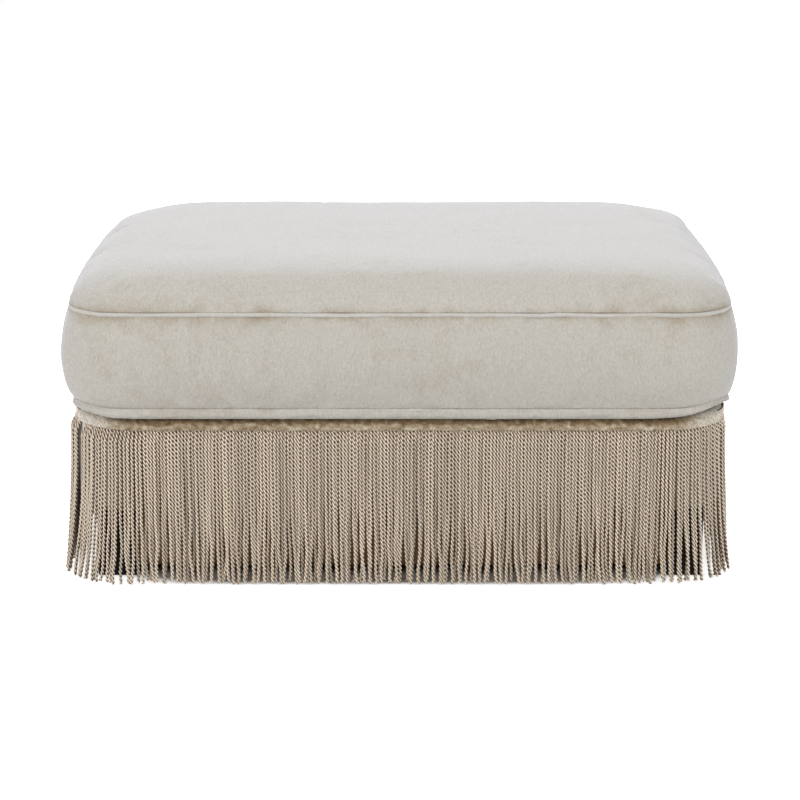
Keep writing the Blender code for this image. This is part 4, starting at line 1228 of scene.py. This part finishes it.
def dustCover():
    # stretched under the frame, with a slight sag and its edge turned in
    edge = roundedPlan(rx - 8 * mm, ry - 8 * mm, base["cornerRadius"] - 8 * mm, 10, 44, 30)
    count = len(edge)
    points, faces = [], []
    for share in (0, 0.01, 0.03, 0.1, 0.2, 0.34, 0.5, 0.66, 0.82, 0.93):
        for x, y, outX, outY in edge:
            px, py = x * (1 - share), y * (1 - share)
            sag = 0 if share < 0.02 else (1 - (px / rx) ** 2) * (1 - (py / ry) ** 2)
            ripple = 0.35 * mm * drift(px * 30, py * 30, 1) * min(1, share * 8)
            points.append((px, py, 108.5 * mm - 2.0 * mm * sag * sag + ripple))
    last = len(points) - count
    for first in range(0, last, count):
        faces += bridge(first, first + count, count, True)
    points.append((0, 0, 106.5 * mm))
    faces += [(last + (i + 1) % count, last + i, len(points) - 1) for i in range(count)]
    return thickened(meshPiece("dust_cover_cloth", points, faces, dustCloth), 0.5 * mm, 0)


cloth = dustCover()
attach(cloth, "base")
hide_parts("dust_cover")
print("linings and dust cover are made")

chain = {
    "halfLength": 360 * mm, "face": 373.31 * mm, "middle": 336.35 * mm, "tapeWidth": 24 * mm,
    "tapeThickness": 1.0 * mm,
    "coilHeight": 2.2 * mm, "endRoom": 4.5 * mm, "columns": 144, "wall": 0.4 * mm,
    # across one half of the tape: how far from the middle, and how thick there
    "tapeSection": ((0.6 * mm, 0.4), (2.8 * mm, 1.0), (6.5 * mm, 0.9), (10.5 * mm, 0.75), (12.0 * mm, 0.4)),
}
tooth = {"pitch": 0.8 * mm, "size": (1.25 * mm, chain["coilHeight"], 4.0 * mm), "gap": 1.0 * mm}

zipTree, given = newTree("zip_teeth", tooth)
t = zipTree
line = addNode(t, "MeshToCurve", {}, [given["Geometry"]])
spots = addNode(t, "CurveToPoints", {"mode": "LENGTH"}, {"Curve": line, "Length": given["pitch"]})
odd = addNode(t, "Math", "MODULO", [addNode(t, "InputIndex"), 2.0])
side = addNode(t, "Math", "MULTIPLY_ADD", [odd, -2.0, 1.0])
offset = addNode(t, "CombineXYZ", {}, {2: addNode(t, "Math", "MULTIPLY", [side, given["gap"]])})
spots = addNode(t, "SetPosition", {}, {"Geometry": spots, "Offset": offset})
bead = addNode(t, "MeshUVSphere", {}, {"Segments": 6, "Rings": 4, "Radius": 0.5})
toothed = addNode(t, "InstanceOnPoints", {}, {"Points": spots, "Instance": bead, "Scale": given["size"]})
toothed = addNode(t, "RealizeInstances", {}, [toothed])
closeTree(t, given, addNode(t, "SetShadeSmooth", {}, [toothed]))

z = chain
coilMiddle = z["face"] + z["tapeThickness"] + z["coilHeight"] / 2
ends = [(sign * (z["halfLength"] - z["endRoom"]), coilMiddle, z["middle"]) for sign in (-1, 1)]
teeth = linePiece("zip_teeth", ends)
grow(teeth, zipTree, tooth, zipNylon)
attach(teeth, "cushion")
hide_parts("zip_chain")

points, faces = [], []
columns, rows = z["columns"], len(z["tapeSection"])
for side in (-1, 1):
    start = len(points)
    for i in range(columns + 1):
        x = z["halfLength"] * (2 * i / columns - 1)
        for across, depth in z["tapeSection"]:
            ripple = 0.12 * mm * drift(x * 60, across * 40, side * 3)
            lifted = z["face"] + 0.2 * mm + z["tapeThickness"] * 0.7 * depth + ripple
            points.append((x, lifted, z["middle"] + side * across))
    for i in range(columns):
        for j in range(rows - 1):
            a = start + i * rows + j
            quad = (a, a + 1, a + rows + 1, a + rows)
            faces.append(quad if side > 0 else quad[::-1])
tape = thickened(meshPiece("zip_tape", points, faces, tapeCloth), z["wall"])
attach(tape, "cushion")
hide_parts("zip_chain")
print("zip is made")

# finishes of the parts that come straight from the CAD model
finishes = (
    ("rail_", beech), ("corner_block_", beech), ("centre_brace", beech), ("webbing_", webbingCloth),
    ("foot_bolt_", zincSteel), ("foot_", blackLacquer), ("glide_", glideNylon),
    ("zip_slider", nickelZinc), ("zip_pull", nickelZinc),
)
for name, node in nodes.items():
    for start, material in finishes:
        if name.startswith(start):
            node.data.materials.clear()
            node.data.materials.append(material)
            break
